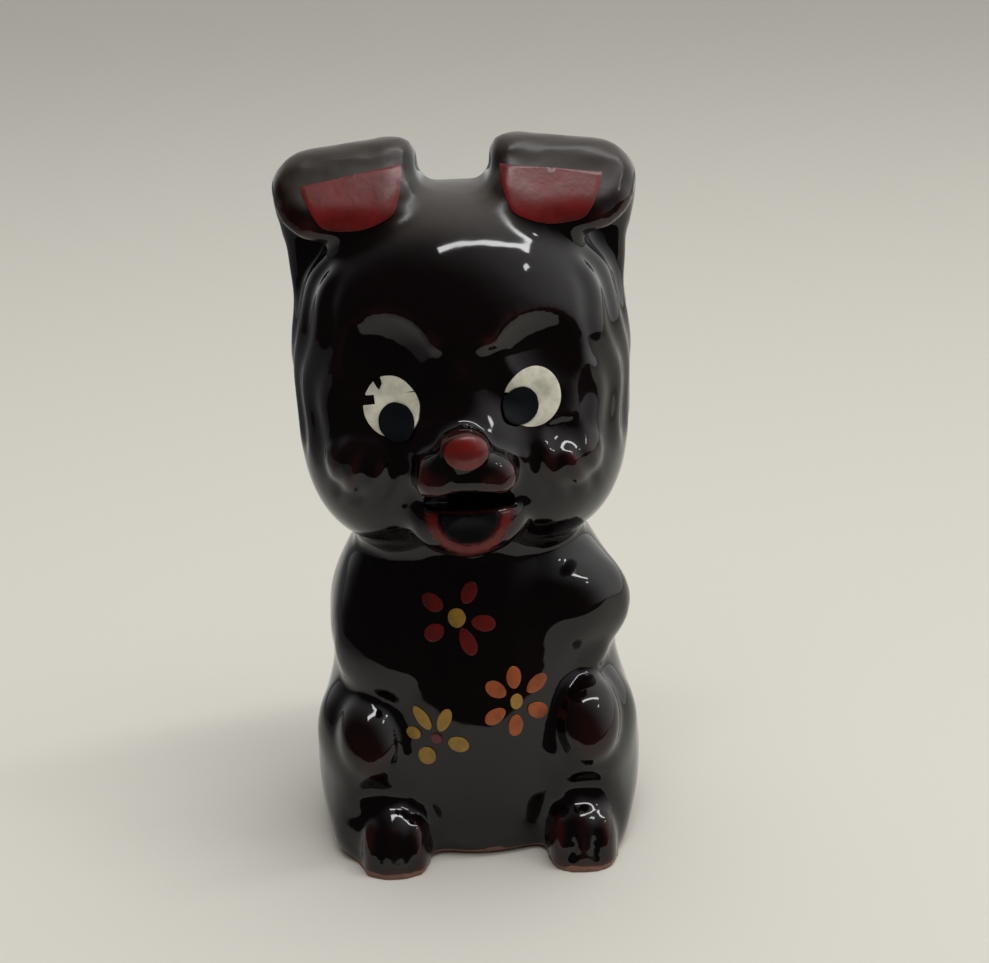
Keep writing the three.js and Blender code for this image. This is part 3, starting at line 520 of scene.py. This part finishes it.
def glaze_finish(sizes):
    finish = new_finish("brown_glaze")
    place = finish.place()
    height = finish.node("ShaderNodeSeparateXYZ", None, {0: place})["Z"]
    clouds = finish.noise(place, CLOUD_SCALE, 3.0)
    fine = finish.noise(place, SPECK_SCALE, 2.0)
    swollen = finish.attribute("swell")
    thin = (swollen + (clouds - 0.5) * THIN_DRIFT).ramp(*THIN_SWELL)
    foot = height - (finish.noise(place, FOOT_SCALE, 3.0) - 0.5) * (FOOT_DRIFT * MM)
    facing = finish.node("ShaderNodeTexCoord")["Normal"]
    upward = finish.node("ShaderNodeSeparateXYZ", None, {0: facing})["Z"]
    wiped = (0 - upward).ramp(*WIPED_FACING) * (1 - height.ramp(*in_metres(WIPED_HEIGHT)))
    fade = FOOT_FADE * MM
    bare = 1 - foot.ramp(sizes.foot_line - fade, sizes.foot_line + fade) * (1 - wiped)
    dusty = upward.ramp(*DUST_FACING) * height.ramp(*in_metres(DUST_HEIGHT)) * (0.7 + clouds * 0.4)
    glazed = finish.mix(dusty, finish.mix(thin, sizes.glaze, sizes.thin_glaze), sizes.dust)
    clay = finish.mix(fine, sizes.clay, shaded(sizes.clay, 0.6))
    ripple = finish.noise(place, RIPPLE_SCALE, 2.0) * (1 - bare) * 0.5 + fine * bare * 0.2
    return finish.surface(
        base_color=finish.mix(bare, glazed, clay),
        roughness=sizes.gloss + clouds * 0.03 + dusty * 0.4 + bare * 0.75,
        ior=GLAZE_IOR,
        normal=finish.bump(ripple, RIPPLE_DEPTH * MM),
    )


def clay_finish(sizes):
    finish = new_finish("bare_clay")
    place = finish.place()
    fine = finish.noise(place, CLAY_SCALE, 4.0)
    blotch = finish.noise(place, BLOTCH_SCALE, 3.0)
    return finish.surface(
        base_color=finish.mix(blotch, sizes.clay, shaded(sizes.clay, 0.55)),
        roughness=0.75 + fine * 0.2,
        normal=finish.bump(fine, CLAY_DEPTH * MM),
    )


def rod(radius_low, radius_high, low, high, sides=64):
    """An upright round bar, tapered, between two heights in millimetres."""
    clear_selection()
    bpy.ops.mesh.primitive_cone_add(
        vertices=sides,
        radius1=radius_low * MM,
        radius2=radius_high * MM,
        depth=(high - low) * MM,
        location=(*STOPPER_AXIS, (low + high) / 2 * MM),
    )
    bar = bpy.context.object
    settle(bar)
    return bar


class MONEYBOX_OT_casting(bpy.types.Operator):
    """Model the hollow glazed casting with its coin slot and stopper hole"""

    bl_idname = "moneybox.casting"
    bl_label = "Casting"

    def execute(self, context):
        sizes = context.scene.moneybox_casting
        casting = merged_copy("ceramic_casting", "casting")
        join(casting, self.cores() + self.laid_on())
        modify(casting, "REMESH", mode="VOXEL", voxel_size=sizes.grain, use_smooth_shade=True)
        cut(casting, *self.sockets(), *self.grooves())
        modify(casting, "REMESH", mode="VOXEL", voxel_size=sizes.grain, use_smooth_shade=True)
        self.soften(casting)
        self.comb(casting)
        glaze = glaze_finish(sizes)
        clay = clay_finish(sizes)
        casting.data.materials.append(glaze)
        for cutter in (self.hollow(sizes), self.slot(sizes), self.hole()):
            cutter.data.materials.append(clay)
            cut(casting, cutter, material_mode="TRANSFER")
        store(casting, "swell", swell(casting))
        finish_piece(casting, "ceramic_casting", "brown_glaze", BOX_BODY, glaze, clay)
        return {"FINISHED"}

    def cores(self):
        """Solids that close the slot and the hole until they are cut again."""
        inner = [side - CORE_INSET for side in HEAD_SIZE]
        plug = rod(PLUG_RADIUS, PLUG_RADIUS, PLUG_LOW, FLOOR_TOP)
        return [ball(HEAD_MIDDLE, inner), plug]

    def laid_on(self):
        """Clay laid on: the brow, cheeks, muzzle, filled jaw, knees, one forearm, one flank and the toes."""
        brow = ball(HEAD_MIDDLE, HEAD_SIZE)
        keep_above(brow, BROW_LINE)
        toes = []
        for foot in FEET_ACROSS:
            for side in (-TOE_SPREAD, TOE_SPREAD):
                toe = ball((foot + side, *TOE[0]), TOE[1])
                keep_above(toe, GROUND)
                toes.append(toe)
        limbs = [ball(*form) for form in (*KNEES, FOREARM, FLANK)]
        face = [ball(*form) for form in (NOSE, MUZZLE, JAW)]
        for form in (CHEEK, LIP_LOBE):
            face += both_sides(*form)
        return [brow] + face + limbs + toes

    def sockets(self):
        """Round dishes under the brows, whose upper rims overhang the eyes."""
        return [ball(*dish) for dish in BROW_DISHES]

    def grooves(self):
        """The gap above the jaw, the mouth, trims of muzzle and cheek, hollows below the knees and clefts."""
        clefts = []
        for foot in FEET_ACROSS:
            for side in (-TOE_SPREAD / 2, TOE_SPREAD / 2):
                clefts.append(ball((foot + side, *CLEFT[0]), CLEFT[1]))
        face = [ball(*form) for form in (JAW_GAP, MOUTH_DISH, MUZZLE_TRIM, CHEEK_FACET)]
        return face + both_sides(*KNEE_HOLLOW) + clefts

    def soften(self, casting):
        """Rounds the joins off, most of all on the body, and gives back what that takes off."""
        modify(casting, "SMOOTH", factor=0.5, iterations=FINE_PASSES)
        _, along, up = places_of(casting).T / MM
        face = step(-along, *FACE_FRONT) * step(up, *FACE_HEIGHT)
        feet = step(-along, *FEET_FRONT) * (1 - step(up, *FEET_HEIGHT))
        ears = step(up, *EARS_HEIGHT)
        weight(casting, "broad", 1 - np.maximum(np.maximum(face, feet), ears))
        modify(casting, "SMOOTH", factor=0.5, iterations=BROAD_PASSES, vertex_group="broad")
        weight(casting, "raised", step(up, *RAISED_HEIGHT))
        modify(casting, "DISPLACE", strength=SMOOTH_LOSS * MM, mid_level=0, vertex_group="raised")

    def comb(self, casting):
        """Shallow locks of hair, down the sides of the head and along the cheeks' lower edges."""
        across, along, up = places_of(casting).T / MM
        wide = np.abs(across)
        sides = step(wide, *LOCK_ACROSS) * step(up, *LOCK_LOW) * (1 - step(up, *LOCK_HIGH))
        sides *= 1 - step(along, *LOCK_BACK)
        wave = np.sin(2 * math.pi * (along / LOCK_WIDTH + LOCK_CURL * np.sin(up / LOCK_SWAY)))
        tufts = step(wide, *TUFT_INNER) * (1 - step(wide, *TUFT_OUTER))
        tufts = tufts * step(up, *TUFT_LOW) * (1 - step(up, *TUFT_HIGH))
        curl = np.sin(2 * math.pi * (wide + TUFT_SLANT * up) / TUFT_WIDTH) * step(-along, *TUFT_FRONT)
        relief = (sides * wave + tufts * curl).clip(-1, 1)
        for name, way in (("ridges", 1), ("furrows", -1)):
            weight(casting, name, (relief * way).clip(0, 1))
            modify(casting, "DISPLACE", strength=LOCK_DEPTH * way * MM, mid_level=0, vertex_group=name)
        modify(casting, "SMOOTH", factor=0.5, iterations=COMB_PASSES)

    def hollow(self, sizes):
        """The space inside, as a solid."""
        walls = 2 * sizes.wall / MM
        cutter, *others = [ball(middle, [side - walls for side in size]) for middle, size in ROOMS]
        join(cutter, others)
        modify(cutter, "REMESH", mode="VOXEL", voxel_size=ROOM_GRAIN * MM)
        modify(cutter, "SMOOTH", factor=0.5, iterations=ROOM_PASSES)
        keep_above(cutter, FLOOR_TOP)
        return cutter

    def slot(self, sizes):
        """The coin slot, as a solid with round ends."""
        clear_selection()
        bpy.ops.mesh.primitive_cube_add(size=1, location=(0, SLOT_REACH / 2 * MM, SLOT_HEIGHT * MM))
        cutter = bpy.context.object
        cutter.scale = (sizes.slot_length, SLOT_REACH * MM, sizes.slot_width)
        settle(cutter)
        modify(cutter, "BEVEL", width=sizes.slot_width * 0.48, segments=6, limit_method="ANGLE")
        return cutter

    def hole(self):
        return rod(*HOLE_RADIUS, HOLE_LOW, HOLE_HIGH, ROUND_SIDES)


# The cork

CORK_TAPER = 1.5
CRUMB_SCALE = 620.0
PORE_SCALE = 420.0
PORE_EDGE = (0.60, 0.68)
PORE_DEPTH = 0.3
RIM_ANGLE = 40


def cork_finish(sizes):
    finish = new_finish("cork")
    place = finish.place()
    grains = finish.node("ShaderNodeTexVoronoi", None, {"Vector": place, "Scale": CRUMB_SCALE})["Color"]
    grain = finish.node("ShaderNodeSeparateColor", None, {0: grains})["Red"]
    pore = finish.noise(place, PORE_SCALE, 4.0, 0.62).ramp(*PORE_EDGE)
    body = finish.mix(grain * 0.8, sizes.cork, shaded(sizes.cork, 0.66))
    return finish.surface(
        base_color=finish.mix(pore, body, sizes.lenticel),
        roughness=0.8 + grain * 0.15,
        normal=finish.bump(grain * 0.3 - pore, PORE_DEPTH * MM),
    )


class MONEYBOX_OT_stopper(bpy.types.Operator):
    """Model the cork in the base"""

    bl_idname = "moneybox.stopper"
    bl_label = "Stopper"

    def execute(self, context):
        sizes = context.scene.moneybox_stopper
        low, high = STOPPER_BOX[0].z / MM, STOPPER_BOX[1].z / MM
        broad = (STOPPER_BOX[1].x - STOPPER_BOX[0].x) / 2 / MM
        stopper = rod(broad, broad - CORK_TAPER, low, high, ROUND_SIDES)
        modify(stopper, "BEVEL", width=sizes.chamfer, segments=4, limit_method="ANGLE")
        stopper.name = "stopper"
        finish_piece(stopper, "cork_stopper", "cork", STOPPER_BODY, cork_finish(sizes))
        bpy.ops.object.shade_smooth_by_angle(angle=math.radians(RIM_ANGLE))
        return {"FINISHED"}


# The enamel

STREAK_SCALE = 260.0
PAINT_SPECK_SCALE = 1500.0
WORN_EDGE = (0.32, 0.75)
SPRAY_EDGE = (0.05, 0.75)
STREAK_DEPTH = 0.10
DRAPE_REACH = 0.08
CHIP_DEPTH = 24
COAT_GAP = 0.05
RIM_LIMIT = 50


def enamel_finish(name, tint, gloss=0.28, soft=False, sheen=0.35):
    """Brushed paint, a little streaky; a soft one fades out at its rim as sprayed paint does."""
    finish = new_finish(name)
    place = finish.place()
    streaks = finish.noise(place, STREAK_SCALE, 3.0, 0.6)
    specks = finish.noise(place, PAINT_SPECK_SCALE, 2.0)
    sockets = {
        "base_color": finish.mix(streaks.ramp(*WORN_EDGE), tint, shaded(tint, 0.62)),
        "roughness": gloss + streaks * 0.12,
        "specular_ior_level": sheen,
        "normal": finish.bump(streaks * 0.6 + specks * 0.1, STREAK_DEPTH * MM),
    }
    if soft:
        sockets["alpha"] = (finish.attribute("rim") + (specks - 0.5) * 0.5).ramp(*SPRAY_EDGE)
    return finish.surface(**sockets)


def flat_disc(name, wide, tall, points=48):
    """The outline of a flat round patch on the drawing plane, left in edit mode for shaping."""
    clear_selection()
    bpy.ops.mesh.primitive_circle_add(vertices=points, radius=0.5)
    disc = bpy.context.object
    disc.name = name
    bpy.ops.object.mode_set(mode="EDIT")
    bpy.ops.mesh.select_all(action="SELECT")
    bpy.ops.transform.resize(value=(wide * MM, tall * MM, 1))
    return disc


def point(disc, angle, pull, reach):
    """Draws one place on a patch's outline out to a soft point, or in, by millimetres."""
    bpy.ops.object.mode_set(mode="OBJECT")
    way = Vector((math.cos(math.radians(angle)), math.sin(math.radians(angle)), 0))
    tip = max(disc.data.vertices, key=lambda vertex: vertex.co.normalized().dot(way))
    for part in (*disc.data.vertices, *disc.data.edges):
        part.select = False
    tip.select = True
    bpy.ops.object.mode_set(mode="EDIT")
    bpy.ops.mesh.select_mode(type="VERT")
    bpy.ops.transform.translate(
        value=way * (pull * MM),
        use_proportional_edit=True,
        proportional_edit_falloff="SHARP",
        proportional_size=reach * MM,
    )


def fill_rings(disc, rings, wobble, seed):
    """Roughens a patch's outline as a brush does, and fills it with rings of faces."""
    bpy.ops.mesh.select_all(action="SELECT")
    bpy.ops.transform.vertex_random(offset=wobble, uniform=0.0, normal=0.0, seed=seed)
    bpy.ops.mesh.vertices_smooth(factor=0.5, repeat=2)
    bpy.ops.mesh.select_mode(type="EDGE")
    bpy.ops.mesh.select_all(action="SELECT")
    for ring in range(rings, 1, -1):
        bpy.ops.mesh.extrude_region()
        inward = (ring - 1) / ring
        bpy.ops.transform.resize(value=(inward, inward, 1), center_override=(0, 0, 0))
    bpy.ops.mesh.edge_face_add()
    bpy.ops.mesh.poke()
    bpy.ops.object.mode_set(mode="OBJECT")


def drape(disc, middle, turn, lift, film, bearing=0.0):
    """Lays a flat patch on the glaze, as seen from a bearing, and gives it the thickness of a stroke."""
    casting = bpy.data.objects["casting"]
    disc.rotation_euler = (0, 0, turn)
    settle(disc)
    outward = Vector((math.sin(bearing), -math.cos(bearing), 0))
    disc.rotation_euler = (math.pi / 2, 0, bearing)
    disc.location = Vector(middle) + outward * DRAPE_REACH
    modify(
        disc,
        "SHRINKWRAP",
        target=casting,
        wrap_method="PROJECT",
        wrap_mode="ABOVE_SURFACE",
        use_project_z=True,
        use_negative_direction=True,
        use_positive_direction=False,
        offset=lift,
    )
    settle(disc)
    modify(disc, "SOLIDIFY", thickness=film, offset=1.0, use_even_offset=False)
    face_outward(disc)


def soften_rim(disc, width):
    modify(disc, "BEVEL", width=width, segments=2, limit_method="ANGLE", angle_limit=math.radians(RIM_LIMIT))


def cut_chips(disc, chips, middle):
    """Breaks flakes out of a stroke; each flake is a ring of places in millimetres about the middle."""
    for chip in chips:
        clear_selection()
        bpy.ops.mesh.primitive_circle_add(vertices=len(chip), radius=1, fill_type="NGON")
        flake = bpy.context.object
        for vertex, (across, height) in zip(flake.data.vertices, chip):
            vertex.co = (middle[0] + across * MM, -CHIP_DEPTH * MM, middle[2] + height * MM)
        modify(flake, "SOLIDIFY", thickness=CHIP_DEPTH * MM, offset=0)
        face_outward(flake)
        modify(disc, "BOOLEAN", operation="DIFFERENCE", object=flake)
        bpy.data.objects.remove(flake)


def enamel_colours(look):
    """The enamels, made once and found again by name."""
    if "brushed_white" not in bpy.data.materials:
        enamel_finish("brushed_white", look.white, 0.42)
        enamel_finish("brushed_black", look.black, 0.38, sheen=0.12)
        enamel_finish("brushed_red", look.red, 0.21, sheen=0.5)
        enamel_finish("brushed_orange", look.orange)
        enamel_finish("brushed_yellow", look.yellow)
        enamel_finish("sprayed_red", look.red, 0.24, True)
    return bpy.data.materials


# Each eye in millimetres: the middle of the white, the middle of the pupil, and flakes about the white
EYES = {
    "right": (
        (-12.95, 94.6),
        (-12.05, 92.0),
        (
            ((-4.2, 5.6), (-2.4, 6.2), (-1.7, 3.9), (-2.3, 2.8), (-2.9, 3.5)),
            ((-6.0, 2.2), (-4.4, 2.0), (-3.3, 2.1), (-3.1, 0.5), (-6.0, 0.2)),
            ((2.6, 2.75), (4.0, 3.1), (5.9, 3.3), (4.0, 2.85)),
            ((3.0, 5.3), (4.2, 4.9), (4.0, 3.9), (3.4, 4.4)),
        ),
    ),
    "left": (
        (13.15, 95.5),
        (10.75, 94.2),
        (((-5.9, 1.2), (-4.6, 1.4), (-4.4, 0.8), (-5.6, 0.4)),),
    ),
}
EYE_SIZE = (10.6, 10.6)
PUPIL_SIZE = (6.9, 6.9)


class MONEYBOX_OT_eyes(bpy.types.Operator):
    """Paint the eye whites and the pupils, with the flakes that have come off"""

    bl_idname = "moneybox.eyes"
    bl_label = "Eyes"

    def execute(self, context):
        look = context.scene.moneybox_enamel
        enamels = enamel_colours(look)
        for seed, (side, (white_at, pupil_at, chips)) in enumerate(EYES.items()):
            middle = (white_at[0] * MM, 0, white_at[1] * MM)
            white = flat_disc(f"{side}_eye_white_stroke", *EYE_SIZE, 64)
            fill_rings(white, 7, look.wobble, seed)
            drape(white, middle, 0, look.lift, look.film)
            cut_chips(white, chips, middle)
            soften_rim(white, look.film / 4)
            finish_piece(white, f"{side}_eye_white", "white_enamel", BOX_BODY, enamels["brushed_white"])
            pupil = flat_disc(f"{side}_pupil_stroke", *PUPIL_SIZE, 56)
            fill_rings(pupil, 5, look.wobble * 1.6, seed + 7)
            over = look.lift + look.film + COAT_GAP * MM
            drape(pupil, (pupil_at[0] * MM, 0, pupil_at[1] * MM), 0, over, look.film)
            soften_rim(pupil, look.film / 4)
            finish_piece(pupil, f"{side}_pupil", "black_enamel", BOX_BODY, enamels["brushed_black"])
        return {"FINISHED"}


NOSE_MIDDLE = (0.6, 89.2)
NOSE_SIZE = (7.7, 6.1)
LIP_SIZE = (16.8, 17.6)
LIP_INNER = (10.4, 10.6)
MOUTH_SIZE = (11.4, 12.0)
MOUTH_TOP = 75.5
MOUTH_ACROSS = 0.5


class MONEYBOX_OT_muzzle(bpy.types.Operator):
    """Paint the nose, the lips and the mouth"""

    bl_idname = "moneybox.muzzle"
    bl_label = "Nose, Lips and Mouth"

    def execute(self, context):
        look = context.scene.moneybox_enamel
        enamels = enamel_colours(look)
        nose = flat_disc("nose_stroke", *NOSE_SIZE, 56)
        fill_rings(nose, 6, look.wobble, 3)
        drape(nose, (NOSE_MIDDLE[0] * MM, 0, NOSE_MIDDLE[1] * MM), 0, look.lift, look.film)
        soften_rim(nose, look.film / 4)
        finish_piece(nose, "nose_paint", "red_enamel", BOX_BODY, enamels["brushed_red"])
        self.lips(look, enamels)
        return {"FINISHED"}

    def lips(self, look, enamels):
        mouth = self.half_disc("mouth_stroke", MOUTH_SIZE, 8, look)
        drape(mouth, (MOUTH_ACROSS * MM, 0, MOUTH_TOP * MM), 0, look.lift, look.film)
        finish_piece(mouth, "mouth_paint", "black_enamel", BOX_BODY, enamels["brushed_black"])
        lips = self.half_disc("lip_stroke", LIP_SIZE, 14, look)
        across, height, _ = places_of(lips).T / MM
        outer = np.hypot(across / (LIP_SIZE[0] / 2), height / (LIP_SIZE[1] / 2))
        inner = np.hypot(across / (LIP_INNER[0] / 2), height / (LIP_INNER[1] / 2))
        store(lips, "rim", np.minimum((1 - outer) * 4.5, (inner - 1) * 3.0))
        over = look.lift + look.film + COAT_GAP * MM
        drape(lips, (MOUTH_ACROSS * MM, 0, MOUTH_TOP * MM), 0, over, look.film / 3)
        finish_piece(lips, "lip_paint", "red_enamel", BOX_BODY, enamels["sprayed_red"])

    def half_disc(self, name, size, rings, look):
        """The lower half of a patch, with a straight top."""
        disc = flat_disc(name, *size, 72)
        fill_rings(disc, rings, look.wobble * 0.3, 5)
        bpy.ops.object.mode_set(mode="EDIT")
        bpy.ops.mesh.select_all(action="SELECT")
        bpy.ops.mesh.bisect(plane_co=(0, 0, 0), plane_no=(0, 1, 0), clear_outer=True)
        bpy.ops.object.mode_set(mode="OBJECT")
        return disc


# Each lining: the middle of its top edge in millimetres and how that edge slopes in degrees
LININGS = {"right": (-19.2, 134.5, 10), "left": (18.5, 134.5, -6.6)}
LINING_SIZE = (19.2, 18.6)
LINING_CORNERS = (-48, -132)
CORNER_PULL = 1.0
CORNER_REACH = 6


class MONEYBOX_OT_linings(bpy.types.Operator):
    """Paint the linings of the folded ears"""

    bl_idname = "moneybox.linings"
    bl_label = "Ear Linings"

    def execute(self, context):
        look = context.scene.moneybox_enamel
        enamels = enamel_colours(look)
        for seed, (side, (across, height, turn)) in enumerate(LININGS.items()):
            lining = flat_disc(f"{side}_ear_lining", *LINING_SIZE, 72)
            for angle in LINING_CORNERS:
                point(lining, angle, CORNER_PULL, CORNER_REACH)
            fill_rings(lining, 10, look.wobble, seed)
            bpy.ops.object.mode_set(mode="EDIT")
            bpy.ops.mesh.select_all(action="SELECT")
            bpy.ops.mesh.bisect(plane_co=(0, 0, 0), plane_no=(0, 1, 0), clear_outer=True)
            bpy.ops.object.mode_set(mode="OBJECT")
            drape(lining, (across * MM, 0, height * MM), math.radians(turn), look.lift, look.film)
            soften_rim(lining, look.film / 4)
            finish_piece(lining, f"{side}_ear_paint", "red_enamel", BOX_BODY, enamels["brushed_red"])
        return {"FINISHED"}


# Each flower: its petals' enamel, its eye's, its eye's size, and each petal's length, width and how far its
# inner and outer ends are drawn to a point, all in millimetres
FLOWERS = {
    "red_flower": ("red", "yellow", (3.5, 3.7), (
        (4.2, 3.3, 0.2, 0), (4.3, 2.9, 0.2, 0), (4.4, 3.1, 0.5, 0), (4.7, 3.0, 1.1, 0), (4.1, 3.2, 0.2, 0),
    )),
    "orange_flower": ("orange", "yellow", (2.5, 3.1), (
        (4.3, 3.0, 0.3, 0), (4.2, 2.9, 0.3, 0), (4.3, 3.0, 0.3, 0),
        (4.1, 3.1, 0.3, 0), (4.2, 2.9, 0.3, 0), (4.2, 3.0, 0.3, 0),
    )),
    "yellow_flower": ("yellow", "red", (2.2, 2.2), (
        (4.4, 2.5, 0.3, 0.7), (4.6, 2.5, 0.5, 0), (3.9, 3.2, 0.2, 0), (3.8, 3.5, 0, 0), (2.9, 2.6, 0, 0),
    )),
    "side_flower": ("orange", "yellow", (2.8, 3.0), (
        (4.2, 3.0, 0.3, 0), (4.2, 2.9, 0.3, 0), (4.3, 3.0, 0.3, 0),
        (4.1, 3.1, 0.3, 0), (4.2, 2.9, 0.3, 0), (4.2, 3.0, 0.3, 0),
    )),
}
SIDE_BEARING = 112


class MONEYBOX_OT_flowers(bpy.types.Operator):
    """Paint the flowers, one stroke to a petal"""

    bl_idname = "moneybox.flowers"
    bl_label = "Flowers"

    def execute(self, context):
        look = context.scene.moneybox_enamel
        enamels = enamel_colours(look)
        for number, (flower, (petal_hue, eye_hue, eye_size, petals)) in enumerate(FLOWERS.items()):
            bearing = math.radians(SIDE_BEARING) if flower == "side_flower" else 0.0
            heart = self.middle(f"{flower}_eye")
            eye = flat_disc(f"{flower}_heart", *eye_size, 32)
            fill_rings(eye, 3, look.wobble, number)
            self.lay(eye, heart, 0, bearing, look)
            finish_piece(eye, f"{flower}_eye", f"{eye_hue}_enamel", BOX_BODY, enamels[f"brushed_{eye_hue}"])
            for n, (long, wide, inner, outer) in enumerate(petals, 1):
                node = f"{flower}_petal_{n}"
                middle = self.middle(node)
                turn = self.turn(heart, middle, bearing)
                petal = flat_disc(f"{node}_stroke", long, wide, 40)
                point(petal, 180, inner, long * 0.7)
                point(petal, 0, outer, long * 0.7)
                fill_rings(petal, 4, look.wobble, 10 * number + n)
                self.lay(petal, middle, turn, bearing, look)
                finish_piece(petal, node, f"{petal_hue}_enamel", BOX_BODY, enamels[f"brushed_{petal_hue}"])
        return {"FINISHED"}

    def middle(self, node):
        low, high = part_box(node)
        return (low + high) / 2

    def turn(self, heart, middle, bearing):
        gap = middle - heart
        return math.atan2(gap.z, gap.x * math.cos(bearing) + gap.y * math.sin(bearing))

    def lay(self, disc, middle, turn, bearing, look):
        outward = Vector((math.sin(bearing), -math.cos(bearing), 0))
        drape(disc, middle - outward * middle.dot(outward), turn, look.lift, look.film, bearing)
        soften_rim(disc, look.film / 4)


# The stage

FLOOR_SIDE = 6
SENSOR_WIDTH = 36

# Cards on the floor, seen only in the glaze, that paint shade into its reflections, in metres: the middle,
# the size and the grey, and across what the painted shadow on the left fades out
# A black card in front of the dog: painted shade, reflected in the glaze where the floor would show
FRONT_SHADE_CARD = ((0, -1.64, 0.0005), (6, 3), 0.01)
# A grey card to the left that fades into the floor colour: a painted shadow on the floor, seen only in the
# glaze
LEFT_SHADOW_CARD = ((-1.54, 1.36, 0.0005), (3, 3), 0.18)
LEFT_SHADOW_FADE = (-0.3, 0.0)

# Lamps, in metres and watts: the place, what it is aimed at, the size and the power
CEILING_LAMP = ((0.30, -0.16, 1.1), (0.30, -0.16, 0), (1.0, 0.08), 3.9)
CEILING_TURN = 16
WINDOW = ((0.68, -0.28, 0.9), (0, 0, 0.08), (0.09, 0.06), 0.25)
FILL = ((0, -0.25, 1.3), (0, 0, 0.05), (1.4, 1.4), 6.0)

# The room: where its bright side lies, how far it spreads, and its shades
BRIGHT_SIDE = (0.55, 0.8, 0.25)
BRIGHT_SPREAD = (-0.4, 0.9)
ROOM_DARK = (0.03, 0.03, 0.03, 1)
ROOM_BRIGHT = (1.1, 1.1, 1.08, 1)
ROOM_SEEN = (0.6, 0.59, 0.57, 1)


class MONEYBOX_OT_stage(bpy.types.Operator):
    """Set up the pale floor, the soft light and the camera"""

    bl_idname = "moneybox.stage"
    bl_label = "Stage"

    def execute(self, context):
        look = context.scene.moneybox_stage
        self.floor(look)
        self.cards(look)
        self.lights()
        self.world(context.scene)
        self.camera(context.scene, look)
        return {"FINISHED"}

    def floor(self, look):
        clear_selection()
        bpy.ops.mesh.primitive_plane_add(size=FLOOR_SIDE)
        floor = bpy.context.object
        floor.name = "floor"
        finish = new_finish("pale_floor")
        finish.surface(base_color=look.floor, roughness=0.6, specular_ior_level=0.0)
        floor.data.materials.append(finish.owner)

    def card(self, name, middle, size, shade, fade=None, ground=None):
        """A card on the floor, out of the picture, seen only in the glaze, that puts painted shade into the
        glaze's reflections; it may fade into the floor.
        """
        clear_selection()
        bpy.ops.mesh.primitive_plane_add(size=1, location=middle)
        card = bpy.context.object
        card.name = name
        card.scale = (*size, 1)
        settle(card)
        card.visible_camera = False
        card.visible_diffuse = False
        card.visible_shadow = False
        finish = new_finish(f"{name}_card")
        tone = (shade, shade, shade, 1)
        if fade:
            across = finish.node("ShaderNodeSeparateXYZ", None, {0: finish.place()})["X"]
            tone = finish.mix(across.ramp(*fade), tone, ground)
        finish.surface(base_color=tone, roughness=1.0)
        card.data.materials.append(finish.owner)

    def cards(self, look):
        # Painted shade in the glaze: a black card in front and a painted shadow on the floor to the left
        self.card("front_shade", *FRONT_SHADE_CARD)
        self.card("left_shadow", *LEFT_SHADOW_CARD, LEFT_SHADOW_FADE, look.floor)

    def lamp(self, name, place, aim, size, power, turn=0.0):
        bpy.ops.object.light_add(type="AREA", location=place)
        lamp = bpy.context.object
        lamp.name = name
        lamp.data.shape = "RECTANGLE"
        lamp.data.size, lamp.data.size_y = size
        lamp.data.energy = power
        lamp.rotation_euler = (Vector(aim) - Vector(place)).to_track_quat("-Z", "Y").to_euler()
        lamp.rotation_euler.rotate_axis("Z", math.radians(turn))
        return lamp

    def lights(self):
        self.lamp("ceiling_lamp", *CEILING_LAMP, CEILING_TURN)
        self.lamp("window", *WINDOW)
        fill = self.lamp("fill", *FILL)
        fill.visible_glossy = False

    def world(self, scene):
        finish = Finish(scene.world or bpy.data.worlds.new("World"))
        scene.world = finish.owner
        way = finish.node("ShaderNodeTexCoord")["Generated"]
        sockets = {0: way, 1: BRIGHT_SIDE}
        toward = finish.node("ShaderNodeVectorMath", {"operation": "DOT_PRODUCT"}, sockets)["Value"]
        light = finish.mix(toward.ramp(*BRIGHT_SPREAD), ROOM_DARK, ROOM_BRIGHT)
        seen = finish.node("ShaderNodeLightPath")["Is Camera Ray"]
        tone = finish.mix(seen, light, ROOM_SEEN)
        glow = finish.node("ShaderNodeBackground", None, {"Color": tone, "Strength": 1.0})["Background"]
        finish.node("ShaderNodeOutputWorld", None, {"Surface": glow})

    def camera(self, scene, look):
        bpy.ops.object.camera_add(location=look.camera_place)
        camera = bpy.context.object
        camera.data.lens = look.lens
        camera.data.sensor_width = SENSOR_WIDTH
        camera.rotation_euler = (math.pi / 2 - look.pitch, 0, 0)
        camera.rotation_euler.rotate_axis("Z", -look.roll)
        scene.camera = camera
        scene.view_settings.view_transform = "Standard"


class MONEYBOX_PT_panel(bpy.types.Panel):
    """Lists the steps of the money box"""

    bl_idname = "MONEYBOX_PT_panel"
    bl_label = "Dog Money Box"
    bl_space_type = "VIEW_3D"
    bl_region_type = "UI"
    bl_category = "Money Box"

    def draw(self, context):
        for operator in OPERATORS:
            self.layout.operator(operator.bl_idname)


OPERATORS = (
    MONEYBOX_OT_casting,
    MONEYBOX_OT_stopper,
    MONEYBOX_OT_eyes,
    MONEYBOX_OT_muzzle,
    MONEYBOX_OT_linings,
    MONEYBOX_OT_flowers,
    MONEYBOX_OT_stage,
)
GROUPS = {
    "moneybox_casting": MoneyBoxCasting,
    "moneybox_stopper": MoneyBoxStopper,
    "moneybox_enamel": MoneyBoxEnamel,
    "moneybox_stage": MoneyBoxStage,
}


def register():
    for group in (*GROUPS.values(), *OPERATORS, MONEYBOX_PT_panel):
        bpy.utils.register_class(group)
    for name, group in GROUPS.items():
        setattr(bpy.types.Scene, name, bpy.props.PointerProperty(type=group))


def unregister():
    for name in GROUPS:
        delattr(bpy.types.Scene, name)
    for group in reversed((*GROUPS.values(), *OPERATORS, MONEYBOX_PT_panel)):
        bpy.utils.unregister_class(group)


def main():
    register()
    for operator in OPERATORS:
        area, name = operator.bl_idname.split(".")
        getattr(getattr(bpy.ops, area), name)()


if __name__ == "__main__":
    main()
